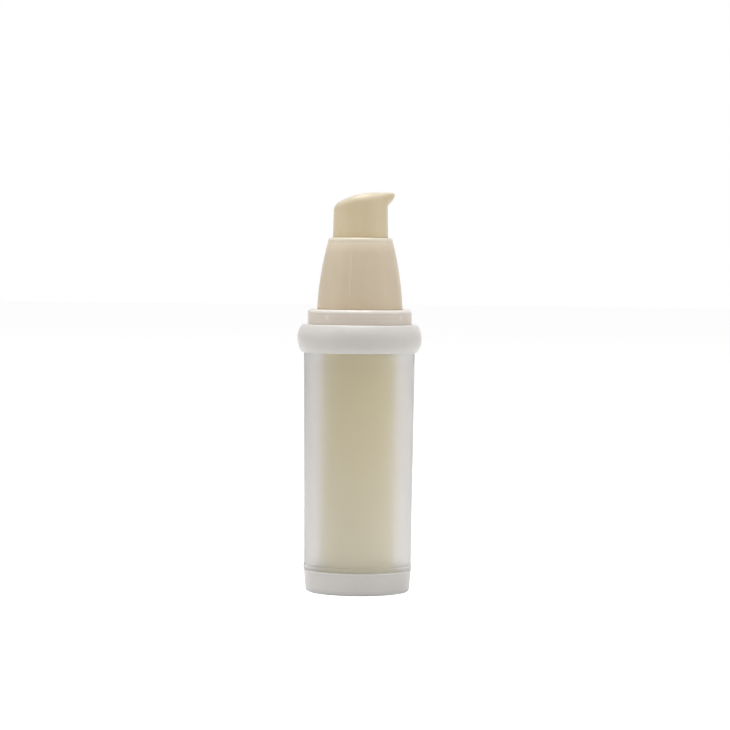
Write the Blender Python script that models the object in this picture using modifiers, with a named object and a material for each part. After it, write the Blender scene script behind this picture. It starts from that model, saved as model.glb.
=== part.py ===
"""An airless lotion bottle: a frosted outer case with a refill cartridge and its push-down pump.

The model is in metres with +Z up. Its origin is on the bottle's axis, in the plane that it stands on, and
the nozzle points along +X. Radii chain outwards from the pump's stem to the case, and heights chain
upwards from the standing plane, so a piece that fits another one follows it when a size is changed.

Each turned piece has its outline in its own heights, measured from the face that it seats on, and is
placed under the empty of the body that carries it.
"""

import math

import bmesh
import bpy
import numpy as np
from mathutils import Matrix, Vector

MM = 0.001

# Clearances
FIT_GAP = 0.2 * MM  # radial gap between pieces that fit in each other
SEAT_GAP = 0.2 * MM  # axial gap between faces that seat on each other
STOP_GAP = 0.5 * MM  # gap left between pieces that never touch in use
CUT_OVERRUN = 1.0 * MM  # how far a cutter runs past the face that it opens

# Facets of round pieces, and the smoothness of their edges
LARGE_STEPS = 36
MEDIUM_STEPS = 30
SMALL_STEPS = 24
BALL_SIDES = 12
BALL_ROWS = 8
CHANNEL_SIDES = 12
FILLET_STEPS = 3
FILLET_LIMIT_SHARE = 0.45  # most of an outline's edge that one fillet may take
MERGE_DISTANCE = 0.001 * MM
SHARP_ANGLE = math.radians(35)

# Base cap of the outer case
BASE_RECESS = 0.9 * MM  # hollow under the floor, inside the ring that the bottle stands on
BASE_FLOOR = 1.2 * MM
BASE_LEDGE_RISE = 1.9 * MM  # from the floor up to the ledge that carries the outer bottle
BASE_LEDGE = 0.6 * MM  # width of that ledge under the spigot
BASE_SET_BACK = 0.1 * MM  # the base's rim stands this far inside the foot band
BASE_TAPER = 0.7 * MM
BASE_FILLET = 1.0 * MM
BASE_EDGE = 0.3 * MM
STAND_WIDTH = 1.4 * MM  # flat ring that the bottle stands on
STAND_DRAFT = 0.2 * MM
LOCATOR_WALL = 1.0 * MM  # ring that centres the cartridge's foot
LOCATOR_RISE = 2.9 * MM
BASE_VENT_RADIUS = 1.0 * MM

# Outer bottle, a thick frosted tube with a foot band and a spigot that plugs into the base
SPIGOT_LENGTH = 3.4 * MM
SPIGOT_STEP = 1.4 * MM  # the spigot's radius is this much less than the foot band's
FOOT_BAND_HEIGHT = 1.75 * MM
FOOT_BAND_STEP = 0.25 * MM
OUTER_WALL = 2.0 * MM
OUTER_FLARE = 0.65 * MM  # the tube widens by this much from foot to rim
AIR_GAP = 2.9 * MM  # between the inner bottle and the outer bottle at its foot
OUTER_EDGE = 0.4 * MM
SMALL_EDGE = 0.2 * MM

# Shoulder ring, the bulged white ring round the outer bottle's rim
RING_LIP = 2.2 * MM  # thickness of the lip that rests on the rim, and the overcap's seat
RING_DROP = 7.0 * MM  # how far the ring hangs down over the tube
RING_WALL = 0.4 * MM  # wall at the ring's top and bottom edges
RING_BULGE = 1.6 * MM
RING_SEAM = 0.25 * MM  # seam between the ring's lip and the seat ring
RING_BULGE_STEPS = 8

# Seat ring, the ivory ring of the cartridge that rests on the outer bottle's rim
SEAT_REACH = 0.8 * MM  # how far its flange reaches over the rim
SEAT_HEIGHT = 7.2 * MM
SEAT_PLATE = 1.4 * MM
SEAT_WALL = 1.4 * MM
SEAT_FILLET = 1.0 * MM
SEAT_SKIRT = 5.7 * MM
SEAT_SKIRT_WALL = 1.15 * MM
SEAT_HAUNCH = 0.8 * MM  # slope between the skirt's inside and the flange's inside
SLEEVE_WALL = 1.1 * MM
BEAD_RISE = 4.7 * MM  # height of the overcap's bead above the ring's seat
BEAD_HALF_HEIGHT = 0.75 * MM
BEAD_HALF_DEPTH = 0.45 * MM
BEAD_PROUD = 0.25 * MM
BEAD_SPAN = math.radians(95)
BEAD_CENTRE = math.radians(-83.5)
BEAD_COUNT = 2
BEAD_POINTS = 13
BEAD_SIDES = 8
BEAD_END_SHARES = (0.45, 0.8)  # size of the bead's section at its first two points, to its full size

# Inner bottle, the cream cup that holds the lotion
RIM_DROP = 2.0 * MM  # the outer bottle's rim lies this far under the cup's shoulder
CUP_LENGTH = 84.2 * MM  # from its open foot to the top of its shoulder
CUP_WALL = 1.0 * MM
CUP_FILLET = 1.5 * MM
SHOULDER_STEP = 2.95 * MM  # from the neck's radius out to the cup's
NECK_WALL = 1.9 * MM
THREAD_HEIGHT = 6.6 * MM  # neck above the seat ring
CARTRIDGE_CLEARANCE = 0.5 * MM  # between the base's floor and the cartridge

# Bottom plug, which closes the cup under the follower piston
PLUG_FLANGE = 1.0 * MM
PLUG_FLOOR = 1.2 * MM
PLUG_DEPTH = 2.9 * MM
PLUG_WALL = 1.25 * MM
PLUG_VENT_RADIUS = 1.0 * MM

# Follower piston, which rises as the lotion is used
LIP_HEIGHT = 0.6 * MM
LIP_SLOPE = 1.0 * MM
LIP_PROUD = 0.75 * MM
FOLLOWER_WALL = 1.0 * MM
FOLLOWER_CROWN = 1.1 * MM
FOLLOWER_FOOT = 2.5 * MM  # the well's floor stands this far above the piston's foot
WELL_CLEARANCE = 0.9 * MM  # round and under the pump when the piston is at the top
WELL_EDGE = 0.4 * MM

# Pump: neck gasket, housing, ball valve and chamber cap
STROKE = 6.5 * MM
GASKET = 1.0 * MM
GASKET_SET_BACK = 0.1 * MM
HOUSING_FLANGE = 1.2 * MM
HOUSING_WALL = 0.9 * MM
HOUSING_PLUG = 2.9 * MM  # depth of the skirt that plugs the neck
HOUSING_PLUG_WALL = 0.9 * MM
HOUSING_GROOVE = 1.0 * MM  # between that skirt and the chamber's wall
INLET_RADIUS = 1.5 * MM
INLET_WALL = 1.2 * MM
INLET_TAPER = 0.3 * MM
INLET_LENGTH = 1.9 * MM
VALVE_SEAT_RISE = 1.1 * MM  # height of the 45 degree cone that the ball sits in
TAPER_RISE = 1.2 * MM  # height of the slope from the chamber's wall in to the inlet
BALL_RADIUS = 2.0 * MM
BALL_LIFT = 1.0 * MM
CAGE_FLANGE = 1.0 * MM
CAGE_SPACE = 0.3 * MM  # round the ball
CAGE_WALL = 0.9 * MM
CAGE_TOP = 0.7 * MM
CAGE_PORT_RADIUS = 1.2 * MM
CAGE_SLOTS = 3
CAGE_SLOT_WIDTH = 1.4 * MM
CAGE_SLOT_HEIGHT = 1.8 * MM
CAGE_MARGIN = 0.7 * MM  # between the cage and the poppet at the end of the stroke
CAP_PLUG = 2.4 * MM
CAP_FLANGE = 1.0 * MM
CAP_LAND = 0.7 * MM  # flange that the closure's plate holds down
GUIDE_WALL = 1.1 * MM
GUIDE_RISE = 1.4 * MM

# Screw closure, which clamps the pump on the neck
CLOSURE_WALL = 1.5 * MM
CLOSURE_PLATE = 1.2 * MM
CLOSURE_FLANGE_REACH = 1.25 * MM
CLOSURE_FLANGE = 1.2 * MM
CLOSURE_EDGE = 0.6 * MM

# Collar, the bell-shaped cover over the closure
COLLAR_WALL = 0.95 * MM
COLLAR_FOOT_EASE = 0.18 * MM  # play at the foot, because the bell narrows over the closure's flange
COLLAR_BOW = 0.6 * MM  # how far the side bows out from a straight line
COLLAR_BOW_STEPS = 8
COLLAR_TOP_FILLET = 1.1 * MM
COLLAR_LIP_WIDTH = 1.3 * MM
HEAD_OVERLAP = 4.85 * MM  # how far the collar covers the head's skirt
LEDGE_HEIGHT = 1.0 * MM  # ledge that rests on the closure's top
LEDGE_SET_IN = 1.0 * MM

# Stem, poppet and pump piston
STEM_BORE_RADIUS = 1.5 * MM
STEM_WALL = 1.1 * MM
STEM_COLLAR_REACH = 0.8 * MM
STEM_COLLAR = 1.0 * MM
STEM_FOOT_SET = 1.4 * MM  # the stem's foot above the piston's foot
POPPET_REACH = 0.4 * MM  # the poppet's flange reaches this far past the piston's hub
POPPET_FLANGE = 1.0 * MM
POPPET_CONE = 1.3 * MM
POPPET_CONE_SET = 0.4 * MM
POPPET_STALK = 7.3 * MM
HUB_WALL = 0.7 * MM
HUB_LENGTH = 3.2 * MM
SEAL_SLIP = 0.8 * MM  # lost motion that opens the outlet
SEAL_GROOVE = 0.6 * MM
SEAL_LIP_ROOT = 0.5 * MM
SEAL_LIP_TIP = 0.4 * MM
SEAL_LIP_PROUD = 0.2 * MM
SEAL_OVERHANG = 0.4 * MM  # how far the lips stand past the hub
SEAL_WEB = 1.0 * MM

# Return spring
WIRE_RADIUS = 0.4 * MM
SPRING_SPACE = 0.35 * MM  # inside and outside the coil
SPRING_TURNS = 7
SPRING_END_PITCH = 1.35 * MM
SPRING_POINTS_PER_TURN = 10
SPRING_BEVEL_RESOLUTION = 1

# Actuator head
HEAD_CLEARANCE = 0.5 * MM  # between its skirt and the closure at the end of the stroke
HEAD_SET_IN = 2.35 * MM  # its foot stands this far inside the closure's side
HEAD_GAP = 0.15 * MM
HEAD_TAPER = 0.45 * MM
HEAD_WALL = 1.15 * MM
HEAD_CROWN_WALL = 1.2 * MM
SOCKET_WALL = 0.9 * MM
SOCKET_FOOT = 0.8 * MM  # the stem's socket starts this far above the skirt's foot
SOCKET_TOP = 9.5 * MM
SPRING_SEAT_RISE = 11.0 * MM  # from the skirt's foot to the face that the spring presses on
SPRING_SEAT_LAND = 0.55 * MM
CROWN_RISE = 8.8 * MM  # from the spring's seat to the top of the beak
CROWN_LEVEL_START = 5.0 * MM  # the crown is level from here forwards, and curves down behind
CROWN_FALL = 4.6 * MM  # how much lower its back edge is
DISH_DEPTH = 0.7 * MM
BACK_EDGE = 3.0 * MM
TIP_EDGE = 0.7 * MM
BEAK_REACH = 2.4 * MM
BEAK_FOOT_DROP = 5.0 * MM  # the beak starts this far below the top
BEAK_TOP_DROP = 1.0 * MM
BEAK_SHARPNESS = 10
TIP_EDGE_SHARPNESS = 4
RISER_RADIUS = 1.3 * MM
CHANNEL_RADIUS = 0.6 * MM
CHANNEL_DROP_AT_AXIS = 3.2 * MM  # the nozzle channel's centre below the top, at the axis
CHANNEL_DROP_AT_TIP = 1.35 * MM  # and at the beak's tip
CONDUIT_RADIUS = 2.1 * MM
HEAD_SIDES = 52
CAVITY_SIDES = 36
HEAD_SIDE_CROWDING = 0.35  # how strongly the loft's sides crowd towards the beak
HEAD_WALL_SHARES = (0.0, 0.25, 0.45, 0.6, 0.72, 0.84, 0.93, 1.0)
CROWN_SHARES = (0.82, 0.6, 0.36, 0.16)
HEAD_EDGE_STEPS = 4
LOFT_START_SHARE = 0.6  # height on the head where the straight skirt ends and the lofted rings start

# Radii, from the stem outwards
STEM_RADIUS = STEM_BORE_RADIUS + STEM_WALL
HUB_BORE = STEM_RADIUS + FIT_GAP
HUB_RADIUS = HUB_BORE + HUB_WALL
SEAL_INNER_RADIUS = HUB_RADIUS + SEAL_GROOVE
SEAL_RADIUS = SEAL_INNER_RADIUS + SEAL_LIP_ROOT + SEAL_LIP_PROUD
CHAMBER_RADIUS = SEAL_RADIUS + FIT_GAP
HOUSING_RADIUS = CHAMBER_RADIUS + HOUSING_WALL
HOUSING_PLUG_BORE = HOUSING_RADIUS + HOUSING_GROOVE
HOUSING_PLUG_RADIUS = HOUSING_PLUG_BORE + HOUSING_PLUG_WALL
NECK_BORE = HOUSING_PLUG_RADIUS + FIT_GAP
NECK_RADIUS = NECK_BORE + NECK_WALL
CUP_RADIUS = NECK_RADIUS + SHOULDER_STEP
CUP_BORE = CUP_RADIUS - CUP_WALL
OUTER_FOOT_BORE = CUP_RADIUS + AIR_GAP
OUTER_FOOT_RADIUS = OUTER_FOOT_BORE + OUTER_WALL
FOOT_BAND_RADIUS = OUTER_FOOT_RADIUS + FOOT_BAND_STEP
SPIGOT_RADIUS = FOOT_BAND_RADIUS - SPIGOT_STEP
RIM_BORE = OUTER_FOOT_BORE + OUTER_FLARE
RIM_RADIUS = OUTER_FOOT_RADIUS + OUTER_FLARE
RING_BORE = RIM_RADIUS + FIT_GAP
RING_EDGE_RADIUS = RING_BORE + RING_WALL
SEAT_RADIUS = RIM_BORE + SEAT_REACH
RING_LIP_BORE = SEAT_RADIUS + RING_SEAM
GUIDE_BORE = STEM_RADIUS + FIT_GAP
GUIDE_RADIUS = GUIDE_BORE + GUIDE_WALL
SPRING_RADIUS = GUIDE_RADIUS + SPRING_SPACE + WIRE_RADIUS
CLOSURE_PORT_RADIUS = SPRING_RADIUS + WIRE_RADIUS + SPRING_SPACE
CAP_RADIUS = CLOSURE_PORT_RADIUS + CAP_LAND
CLOSURE_BORE = NECK_RADIUS + FIT_GAP
CLOSURE_RADIUS = CLOSURE_BORE + CLOSURE_WALL
CLOSURE_FLANGE_RADIUS = CLOSURE_RADIUS + CLOSURE_FLANGE_REACH
COLLAR_FOOT_RADIUS = CLOSURE_FLANGE_RADIUS + FIT_GAP + COLLAR_FOOT_EASE + COLLAR_WALL
HEAD_FOOT_RADIUS = CLOSURE_RADIUS - HEAD_SET_IN
COLLAR_OPENING = HEAD_FOOT_RADIUS + HEAD_GAP
COLLAR_TOP_RADIUS = COLLAR_OPENING + COLLAR_LIP_WIDTH

# Heights of the faces that the pieces seat on, from the standing plane upwards
BASE_FLOOR_TOP = BASE_RECESS + BASE_FLOOR
BASE_HEIGHT = BASE_FLOOR_TOP + BASE_LEDGE_RISE + SPIGOT_LENGTH
OUTER_Z = BASE_HEIGHT + SEAT_GAP
PLUG_Z = BASE_FLOOR_TOP + CARTRIDGE_CLEARANCE
CUP_Z = PLUG_Z + PLUG_FLANGE + SEAT_GAP
FOLLOWER_Z = PLUG_Z + PLUG_FLANGE + PLUG_DEPTH + SEAT_GAP
CUP_SHOULDER_Z = CUP_Z + CUP_LENGTH
RIM_Z = CUP_SHOULDER_Z - RIM_DROP
OUTER_LENGTH = RIM_Z - OUTER_Z
RING_Z = RIM_Z + SEAT_GAP
SEAT_Z = RIM_Z + SEAT_GAP
SEAT_TOP_Z = SEAT_Z + SEAT_HEIGHT
NECK_TOP_Z = SEAT_TOP_Z + THREAD_HEIGHT
GASKET_Z = NECK_TOP_Z + SEAT_GAP
HOUSING_Z = GASKET_Z + GASKET + SEAT_GAP
CAP_Z = HOUSING_Z + HOUSING_FLANGE + SEAT_GAP
SPRING_Z = CAP_Z + CAP_FLANGE + SEAT_GAP
CLOSURE_Z = CAP_Z + CAP_FLANGE + SEAT_GAP
CLOSURE_TOP_Z = CLOSURE_Z + CLOSURE_PLATE
CLOSURE_FOOT_Z = SEAT_TOP_Z + STOP_GAP
COLLAR_Z = SEAT_TOP_Z + SEAT_GAP
STEM_COLLAR_TOP_Z = CAP_Z - CAP_PLUG - SEAT_GAP
SEAL_Z = STEM_COLLAR_TOP_Z - STEM_COLLAR - SEAT_GAP - SEAL_SLIP - HUB_LENGTH
STEM_Z = SEAL_Z + STEM_FOOT_SET
POPPET_Z = SEAL_Z - SEAT_GAP - POPPET_FLANGE
CAGE_TOP_Z = POPPET_Z - STROKE - CAGE_MARGIN
CAGE_HEIGHT = CAGE_TOP + 2 * BALL_RADIUS + BALL_LIFT - VALVE_SEAT_RISE - SEAT_GAP / 2
CAGE_Z = CAGE_TOP_Z - CAGE_HEIGHT
CHAMBER_FLOOR_Z = CAGE_Z - SEAT_GAP
INLET_TOP_Z = CHAMBER_FLOOR_Z - VALVE_SEAT_RISE
BALL_Z = INLET_TOP_Z - INLET_RADIUS + (BALL_RADIUS + SEAT_GAP) * math.sqrt(2)
HOUSING_FOOT_Z = INLET_TOP_Z - INLET_LENGTH
HEAD_Z = CLOSURE_TOP_Z + STROKE + HEAD_CLEARANCE
SOCKET_TOP_Z = HEAD_Z + SOCKET_TOP
SPRING_SEAT_Z = HEAD_Z + SPRING_SEAT_RISE
HEAD_TOP_Z = SPRING_SEAT_Z + CROWN_RISE
COLLAR_TOP_Z = HEAD_Z + HEAD_OVERLAP

PART_NAME = "lotion_bottle"
CUTTER_NAME = "cutters"


def clear_scene():
    """Remove whatever objects the scene holds."""
    for item in list(bpy.data.objects):
        bpy.data.objects.remove(item, do_unlink=True)


def make_collection(name):
    """Add a collection to the scene."""
    group = bpy.data.collections.new(name)
    bpy.context.scene.collection.children.link(group)
    return group


def make_material(name, colour, roughness, metallic=0.0, alpha=1.0):
    """Add a Principled material with one linear colour."""
    material = bpy.data.materials.new(name)
    material.use_nodes = True
    shader = material.node_tree.nodes["Principled BSDF"]
    shader.inputs["Base Color"].default_value = (*colour, 1.0)
    shader.inputs["Roughness"].default_value = roughness
    shader.inputs["Metallic"].default_value = metallic
    shader.inputs["Alpha"].default_value = alpha
    material.diffuse_color = (*colour, alpha)
    return material


def world_height(item):
    """Height of an object's origin above the standing plane."""
    return item.location.z + (world_height(item.parent) if item.parent else 0)


def seat(item, carrier, height):
    """Hang an object on its carrier with its origin on the axis at a height above the standing plane."""
    item.parent = carrier
    item.location.z = height - (world_height(carrier) if carrier else 0)


def make_body(name, carrier, height):
    """Add the empty that carries the pieces which move as one."""
    empty = bpy.data.objects.new(name, None)
    empty.empty_display_size = STAND_WIDTH
    bpy.data.collections[PART_NAME].objects.link(empty)
    seat(empty, carrier, height)
    return empty


def add_piece(name, mesh, material, carrier, height):
    """Add a named piece of the object."""
    piece = bpy.data.objects.new(name, mesh)
    bpy.data.collections[PART_NAME].objects.link(piece)
    mesh.materials.append(material)
    seat(piece, carrier, height)
    return piece


def add_cutter(name, mesh, carrier, height):
    """Add a shape that only cuts or joins others."""
    cutter = bpy.data.objects.new(name, mesh)
    bpy.data.collections[CUTTER_NAME].objects.link(cutter)
    cutter.hide_render = True
    cutter.display_type = "WIRE"
    seat(cutter, carrier, height)
    return cutter


def fillet(before, corner, after, radius):
    """Points of the arc that rounds one corner of an outline; a small edge is only a chamfer."""
    towards = (before - corner).normalized()
    onwards = (after - corner).normalized()
    half = towards.angle(onwards) / 2
    room = min((before - corner).length, (after - corner).length) * FILLET_LIMIT_SHARE
    reach = min(radius / math.tan(half), room)
    centre = corner + (towards + onwards).normalized() * (reach / math.cos(half))
    first = corner + towards * reach - centre
    last = corner + onwards * reach - centre
    sweep = first.angle(last)
    steps = FILLET_STEPS if radius > SMALL_EDGE else 1
    points = []
    for step in range(steps + 1):
        share = step / steps
        weight = (math.sin((1 - share) * sweep), math.sin(share * sweep))
        points.append(centre + (first * weight[0] + last * weight[1]) / math.sin(sweep))
    return points


def rounded(corners):
    """Turn corners (radius, height, optional fillet) into the points of an outline."""
    places = [Vector(corner[:2]) for corner in corners]
    points = []
    for index, corner in enumerate(corners):
        if len(corner) < 3:
            points.append(places[index])
            continue
        following = places[(index + 1) % len(places)]
        points.extend(fillet(places[index - 1], places[index], following, corner[2]))
    return points


def bowed(start, end, bow, steps):
    """Points between two places on the arc that bows out from the line between them."""
    start, end = Vector(start), Vector(end)
    chord = end - start
    outwards = Vector((-chord.y, chord.x)).normalized()
    half = chord.length / 2
    radius = (half * half + bow * bow) / (2 * bow)
    centre = (start + end) / 2 + outwards * (bow - radius)
    turn = 2 * math.asin(half / radius)
    spoke = start - centre
    points = []
    for step in range(steps + 1):
        angle = turn * (0.5 - step / steps)
        middle = outwards * radius
        points.append(centre + Vector((middle.x * math.cos(angle) - middle.y * math.sin(angle),
                                       middle.x * math.sin(angle) + middle.y * math.cos(angle))))
    if (points[0] - centre - spoke).length > half:
        points.reverse()
    return points


def outline_mesh(name, corners):
    """Mesh of an outline at +X: closed, or open where both of its ends lie on the axis."""
    points = rounded(corners)
    edges = [(index, index + 1) for index in range(len(points) - 1)]
    if min(point.x for point in points) > 0:
        edges.append((len(points) - 1, 0))
    mesh = bpy.data.meshes.new(name)
    mesh.from_pydata([(point.x, 0, point.y) for point in points], edges, [])
    return mesh


def turn(item, steps):
    """Turn an outline round the axis."""
    screw = item.modifiers.new("Turn", "SCREW")
    screw.steps = steps
    screw.render_steps = steps
    screw.use_merge_vertices = True
    screw.merge_threshold = MERGE_DISTANCE
    settle(item)


def combine(item, other, operation):
    """Cut another shape out of an item, or join it on."""
    boolean = item.modifiers.new(other.name, "BOOLEAN")
    boolean.object = other
    boolean.operation = operation
    settle(item)


def settle(item):
    """Give an item the mesh that its modifiers make, smooth where it is round and sharp at its edges."""
    graph = bpy.context.evaluated_depsgraph_get()
    mesh = bpy.data.meshes.new_from_object(item.evaluated_get(graph))
    item.modifiers.clear()
    item.data = mesh
    mesh.shade_smooth()
    mesh.set_sharp_from_angle(angle=SHARP_ANGLE)


def turned(name, corners, steps, material, carrier, height):
    """Add a turned piece from its outline."""
    piece = add_piece(name, outline_mesh(name, corners), material, carrier, height)
    turn(piece, steps)
    return piece


def turned_cutter(name, corners, steps, carrier, height):
    """Add a turned cutter from its outline."""
    cutter = add_cutter(name, outline_mesh(name, corners), carrier, height)
    turn(cutter, steps)
    return cutter


def curve_to_mesh(curve_object):
    """Replace a curve object by its welded mesh, and return that mesh."""
    graph = bpy.context.evaluated_depsgraph_get()
    mesh = bpy.data.meshes.new_from_object(curve_object.evaluated_get(graph))
    bpy.data.objects.remove(curve_object, do_unlink=True)
    work = bmesh.new()
    work.from_mesh(mesh)
    bmesh.ops.remove_doubles(work, verts=work.verts, dist=MERGE_DISTANCE)
    bmesh.ops.recalc_face_normals(work, faces=work.faces)
    work.to_mesh(mesh)
    work.free()
    return mesh


def make_base_cap(material, carrier):
    """White base: a cup with a ledge for the outer bottle and a ring that centres the cartridge."""
    rim = FOOT_BAND_RADIUS - BASE_SET_BACK
    foot = rim - BASE_TAPER
    stand = foot - BASE_FILLET - STAND_WIDTH
    bore = SPIGOT_RADIUS + FIT_GAP
    ledge = SPIGOT_RADIUS - BASE_LEDGE
    ledge_top = BASE_FLOOR_TOP + BASE_LEDGE_RISE
    locator_bore = CUP_RADIUS + FIT_GAP
    locator = locator_bore + LOCATOR_WALL
    locator_top = BASE_FLOOR_TOP + LOCATOR_RISE
    corners = [
        (rim, BASE_HEIGHT, BASE_EDGE), (foot, 0, BASE_FILLET), (stand, 0, BASE_EDGE),
        (stand - STAND_DRAFT, BASE_RECESS), (BASE_VENT_RADIUS, BASE_RECESS),
        (BASE_VENT_RADIUS, BASE_FLOOR_TOP), (locator_bore, BASE_FLOOR_TOP), (locator_bore, locator_top),
        (locator, locator_top), (locator, BASE_FLOOR_TOP), (ledge, BASE_FLOOR_TOP), (ledge, ledge_top),
        (bore, ledge_top), (bore, BASE_HEIGHT),
    ]
    return turned("base_cap", corners, LARGE_STEPS, material, carrier, 0)


def make_outer_bottle(material, carrier):
    """Frosted tube with a foot band, open at both ends."""
    corners = [
        (RIM_RADIUS, OUTER_LENGTH, OUTER_EDGE), (OUTER_FOOT_RADIUS, FOOT_BAND_HEIGHT),
        (FOOT_BAND_RADIUS, FOOT_BAND_HEIGHT, SMALL_EDGE), (FOOT_BAND_RADIUS, 0), (SPIGOT_RADIUS, 0),
        (SPIGOT_RADIUS, -SPIGOT_LENGTH), (OUTER_FOOT_BORE, -SPIGOT_LENGTH), (OUTER_FOOT_BORE, 0),
        (RIM_BORE, OUTER_LENGTH),
    ]
    return turned("outer_bottle", corners, LARGE_STEPS, material, carrier, OUTER_Z)


def make_shoulder_ring(material, carrier):
    """White bulged ring; its lip rests on the outer bottle's rim, and its flat top seats an overcap."""
    side = bowed((RING_EDGE_RADIUS, RING_LIP), (RING_EDGE_RADIUS, -RING_DROP), RING_BULGE, RING_BULGE_STEPS)
    corners = [tuple(point) for point in side] + [
        (RING_BORE, -RING_DROP), (RING_BORE, 0), (RING_LIP_BORE, 0), (RING_LIP_BORE, RING_LIP, SMALL_EDGE),
    ]
    return turned("shoulder_ring", corners, LARGE_STEPS, material, carrier, RING_Z)


def make_seat_ring(material, carrier):
    """Ivory ring that fixes the cup in the outer bottle, with a bead on each side for the overcap."""
    skirt = RIM_BORE - OUTER_FLARE * SEAT_SKIRT / OUTER_LENGTH - FIT_GAP
    skirt_bore = skirt - SEAT_SKIRT_WALL
    bore = SEAT_RADIUS - SEAT_WALL
    underside = SEAT_HEIGHT - SEAT_PLATE
    sleeve_bore = NECK_RADIUS + FIT_GAP
    sleeve = sleeve_bore + SLEEVE_WALL
    sleeve_foot = CUP_SHOULDER_Z + SEAT_GAP - SEAT_Z
    corners = [
        (SEAT_RADIUS, SEAT_HEIGHT, SEAT_FILLET), (SEAT_RADIUS, 0), (skirt, 0),
        (skirt, -SEAT_SKIRT, SMALL_EDGE), (skirt_bore, -SEAT_SKIRT), (skirt_bore, 0),
        (bore, SEAT_HAUNCH), (bore, underside), (sleeve, underside), (sleeve, sleeve_foot),
        (sleeve_bore, sleeve_foot), (sleeve_bore, SEAT_HEIGHT, SMALL_EDGE),
    ]
    ring = turned("seat_ring", corners, LARGE_STEPS, material, carrier, SEAT_Z)
    for index in range(BEAD_COUNT):
        combine(ring, make_bead(index, carrier), "UNION")
    return ring


def make_bead(index, carrier):
    """A raised bead that follows the seat ring's side and narrows at its ends."""
    section = bpy.data.curves.new("bead_section", "CURVE")
    section.dimensions = "2D"
    loop = section.splines.new("POLY")
    loop.points.add(BEAD_SIDES - 1)
    loop.use_cyclic_u = True
    for side, point in enumerate(loop.points):
        angle = math.tau * side / BEAD_SIDES
        point.co = (BEAD_HALF_DEPTH * math.cos(angle), BEAD_HALF_HEIGHT * math.sin(angle), 0, 1)
    section_object = add_cutter("bead_section", section, carrier, SEAT_Z)
    path = bpy.data.curves.new("bead_path", "CURVE")
    path.dimensions = "3D"
    path.twist_mode = "Z_UP"
    path.bevel_mode = "OBJECT"
    path.bevel_object = section_object
    path.use_fill_caps = True
    line = path.splines.new("POLY")
    line.points.add(BEAD_POINTS - 1)
    radius = SEAT_RADIUS + BEAD_PROUD - BEAD_HALF_DEPTH
    middle = BEAD_CENTRE + math.tau * index / BEAD_COUNT
    for step, point in enumerate(line.points):
        angle = middle + BEAD_SPAN * (step / (BEAD_POINTS - 1) - 0.5)
        point.co = (radius * math.cos(angle), radius * math.sin(angle), BEAD_RISE, 1)
        from_end = min(step, BEAD_POINTS - 1 - step)
        point.radius = BEAD_END_SHARES[from_end] if from_end < len(BEAD_END_SHARES) else 1
    mesh = curve_to_mesh(add_cutter("bead_path", path, carrier, SEAT_Z))
    bpy.data.objects.remove(section_object, do_unlink=True)
    return add_cutter(f"bead_{index + 1}", mesh, carrier, SEAT_Z)


def make_inner_bottle(material, carrier):
    """Cream cup with a neck, open at its foot for the follower piston."""
    neck_top = NECK_TOP_Z - CUP_Z
    corners = [
        (NECK_RADIUS, neck_top, SMALL_EDGE), (NECK_RADIUS, CUP_LENGTH), (CUP_RADIUS, CUP_LENGTH, CUP_FILLET),
        (CUP_RADIUS, 0), (CUP_BORE, 0), (CUP_BORE, CUP_LENGTH - CUP_WALL, SMALL_EDGE),
        (NECK_BORE, CUP_LENGTH - CUP_WALL), (NECK_BORE, neck_top),
    ]
    return turned("inner_bottle", corners, MEDIUM_STEPS, material, carrier, CUP_Z)


def make_bottom_plug(material, carrier):
    """Vented plug in the cup's foot."""
    plug = CUP_BORE - FIT_GAP
    bore = plug - PLUG_WALL
    top = PLUG_FLANGE + PLUG_DEPTH
    corners = [
        (plug, top, SMALL_EDGE), (plug, PLUG_FLANGE), (CUP_RADIUS, PLUG_FLANGE), (CUP_RADIUS, 0),
        (PLUG_VENT_RADIUS, 0), (PLUG_VENT_RADIUS, PLUG_FLOOR), (bore, PLUG_FLOOR), (bore, top),
    ]
    return turned("bottom_plug", corners, MEDIUM_STEPS, material, carrier, PLUG_Z)


def make_follower_piston(material, carrier):
    """Piston with two wiping lips and a well that clears the pump when it reaches the top."""
    lip = CUP_BORE - FIT_GAP
    waist = lip - LIP_PROUD
    bore = waist - FOLLOWER_WALL
    well = HOUSING_RADIUS + WELL_CLEARANCE
    well_wall = well + FOLLOWER_WALL
    top_stop = CUP_SHOULDER_Z - CUP_WALL - SEAT_GAP
    well_depth = top_stop - HOUSING_FOOT_Z + WELL_CLEARANCE
    floor_under = FOLLOWER_FOOT
    floor_top = floor_under + FOLLOWER_WALL
    top = floor_top + well_depth
    slope_foot = LIP_HEIGHT + LIP_SLOPE
    corners = [
        (0, floor_top), (well, floor_top), (well, top, WELL_EDGE), (lip, top), (lip, top - LIP_HEIGHT),
        (waist, top - slope_foot), (waist, slope_foot), (lip, LIP_HEIGHT), (lip, 0), (lip - LIP_HEIGHT, 0),
        (bore, slope_foot), (bore, top - FOLLOWER_CROWN), (well_wall, top - FOLLOWER_CROWN),
        (well_wall, floor_under), (0, floor_under),
    ]
    return turned("follower_piston", corners, MEDIUM_STEPS, material, carrier, FOLLOWER_Z)


def make_neck_gasket(material, carrier):
    """Flat gasket between the neck and the pump."""
    bore = NECK_BORE + GASKET_SET_BACK
    rim = NECK_RADIUS - FIT_GAP
    corners = [(rim, GASKET), (rim, 0), (bore, 0), (bore, GASKET)]
    return turned("neck_gasket", corners, MEDIUM_STEPS, material, carrier, GASKET_Z)


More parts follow.
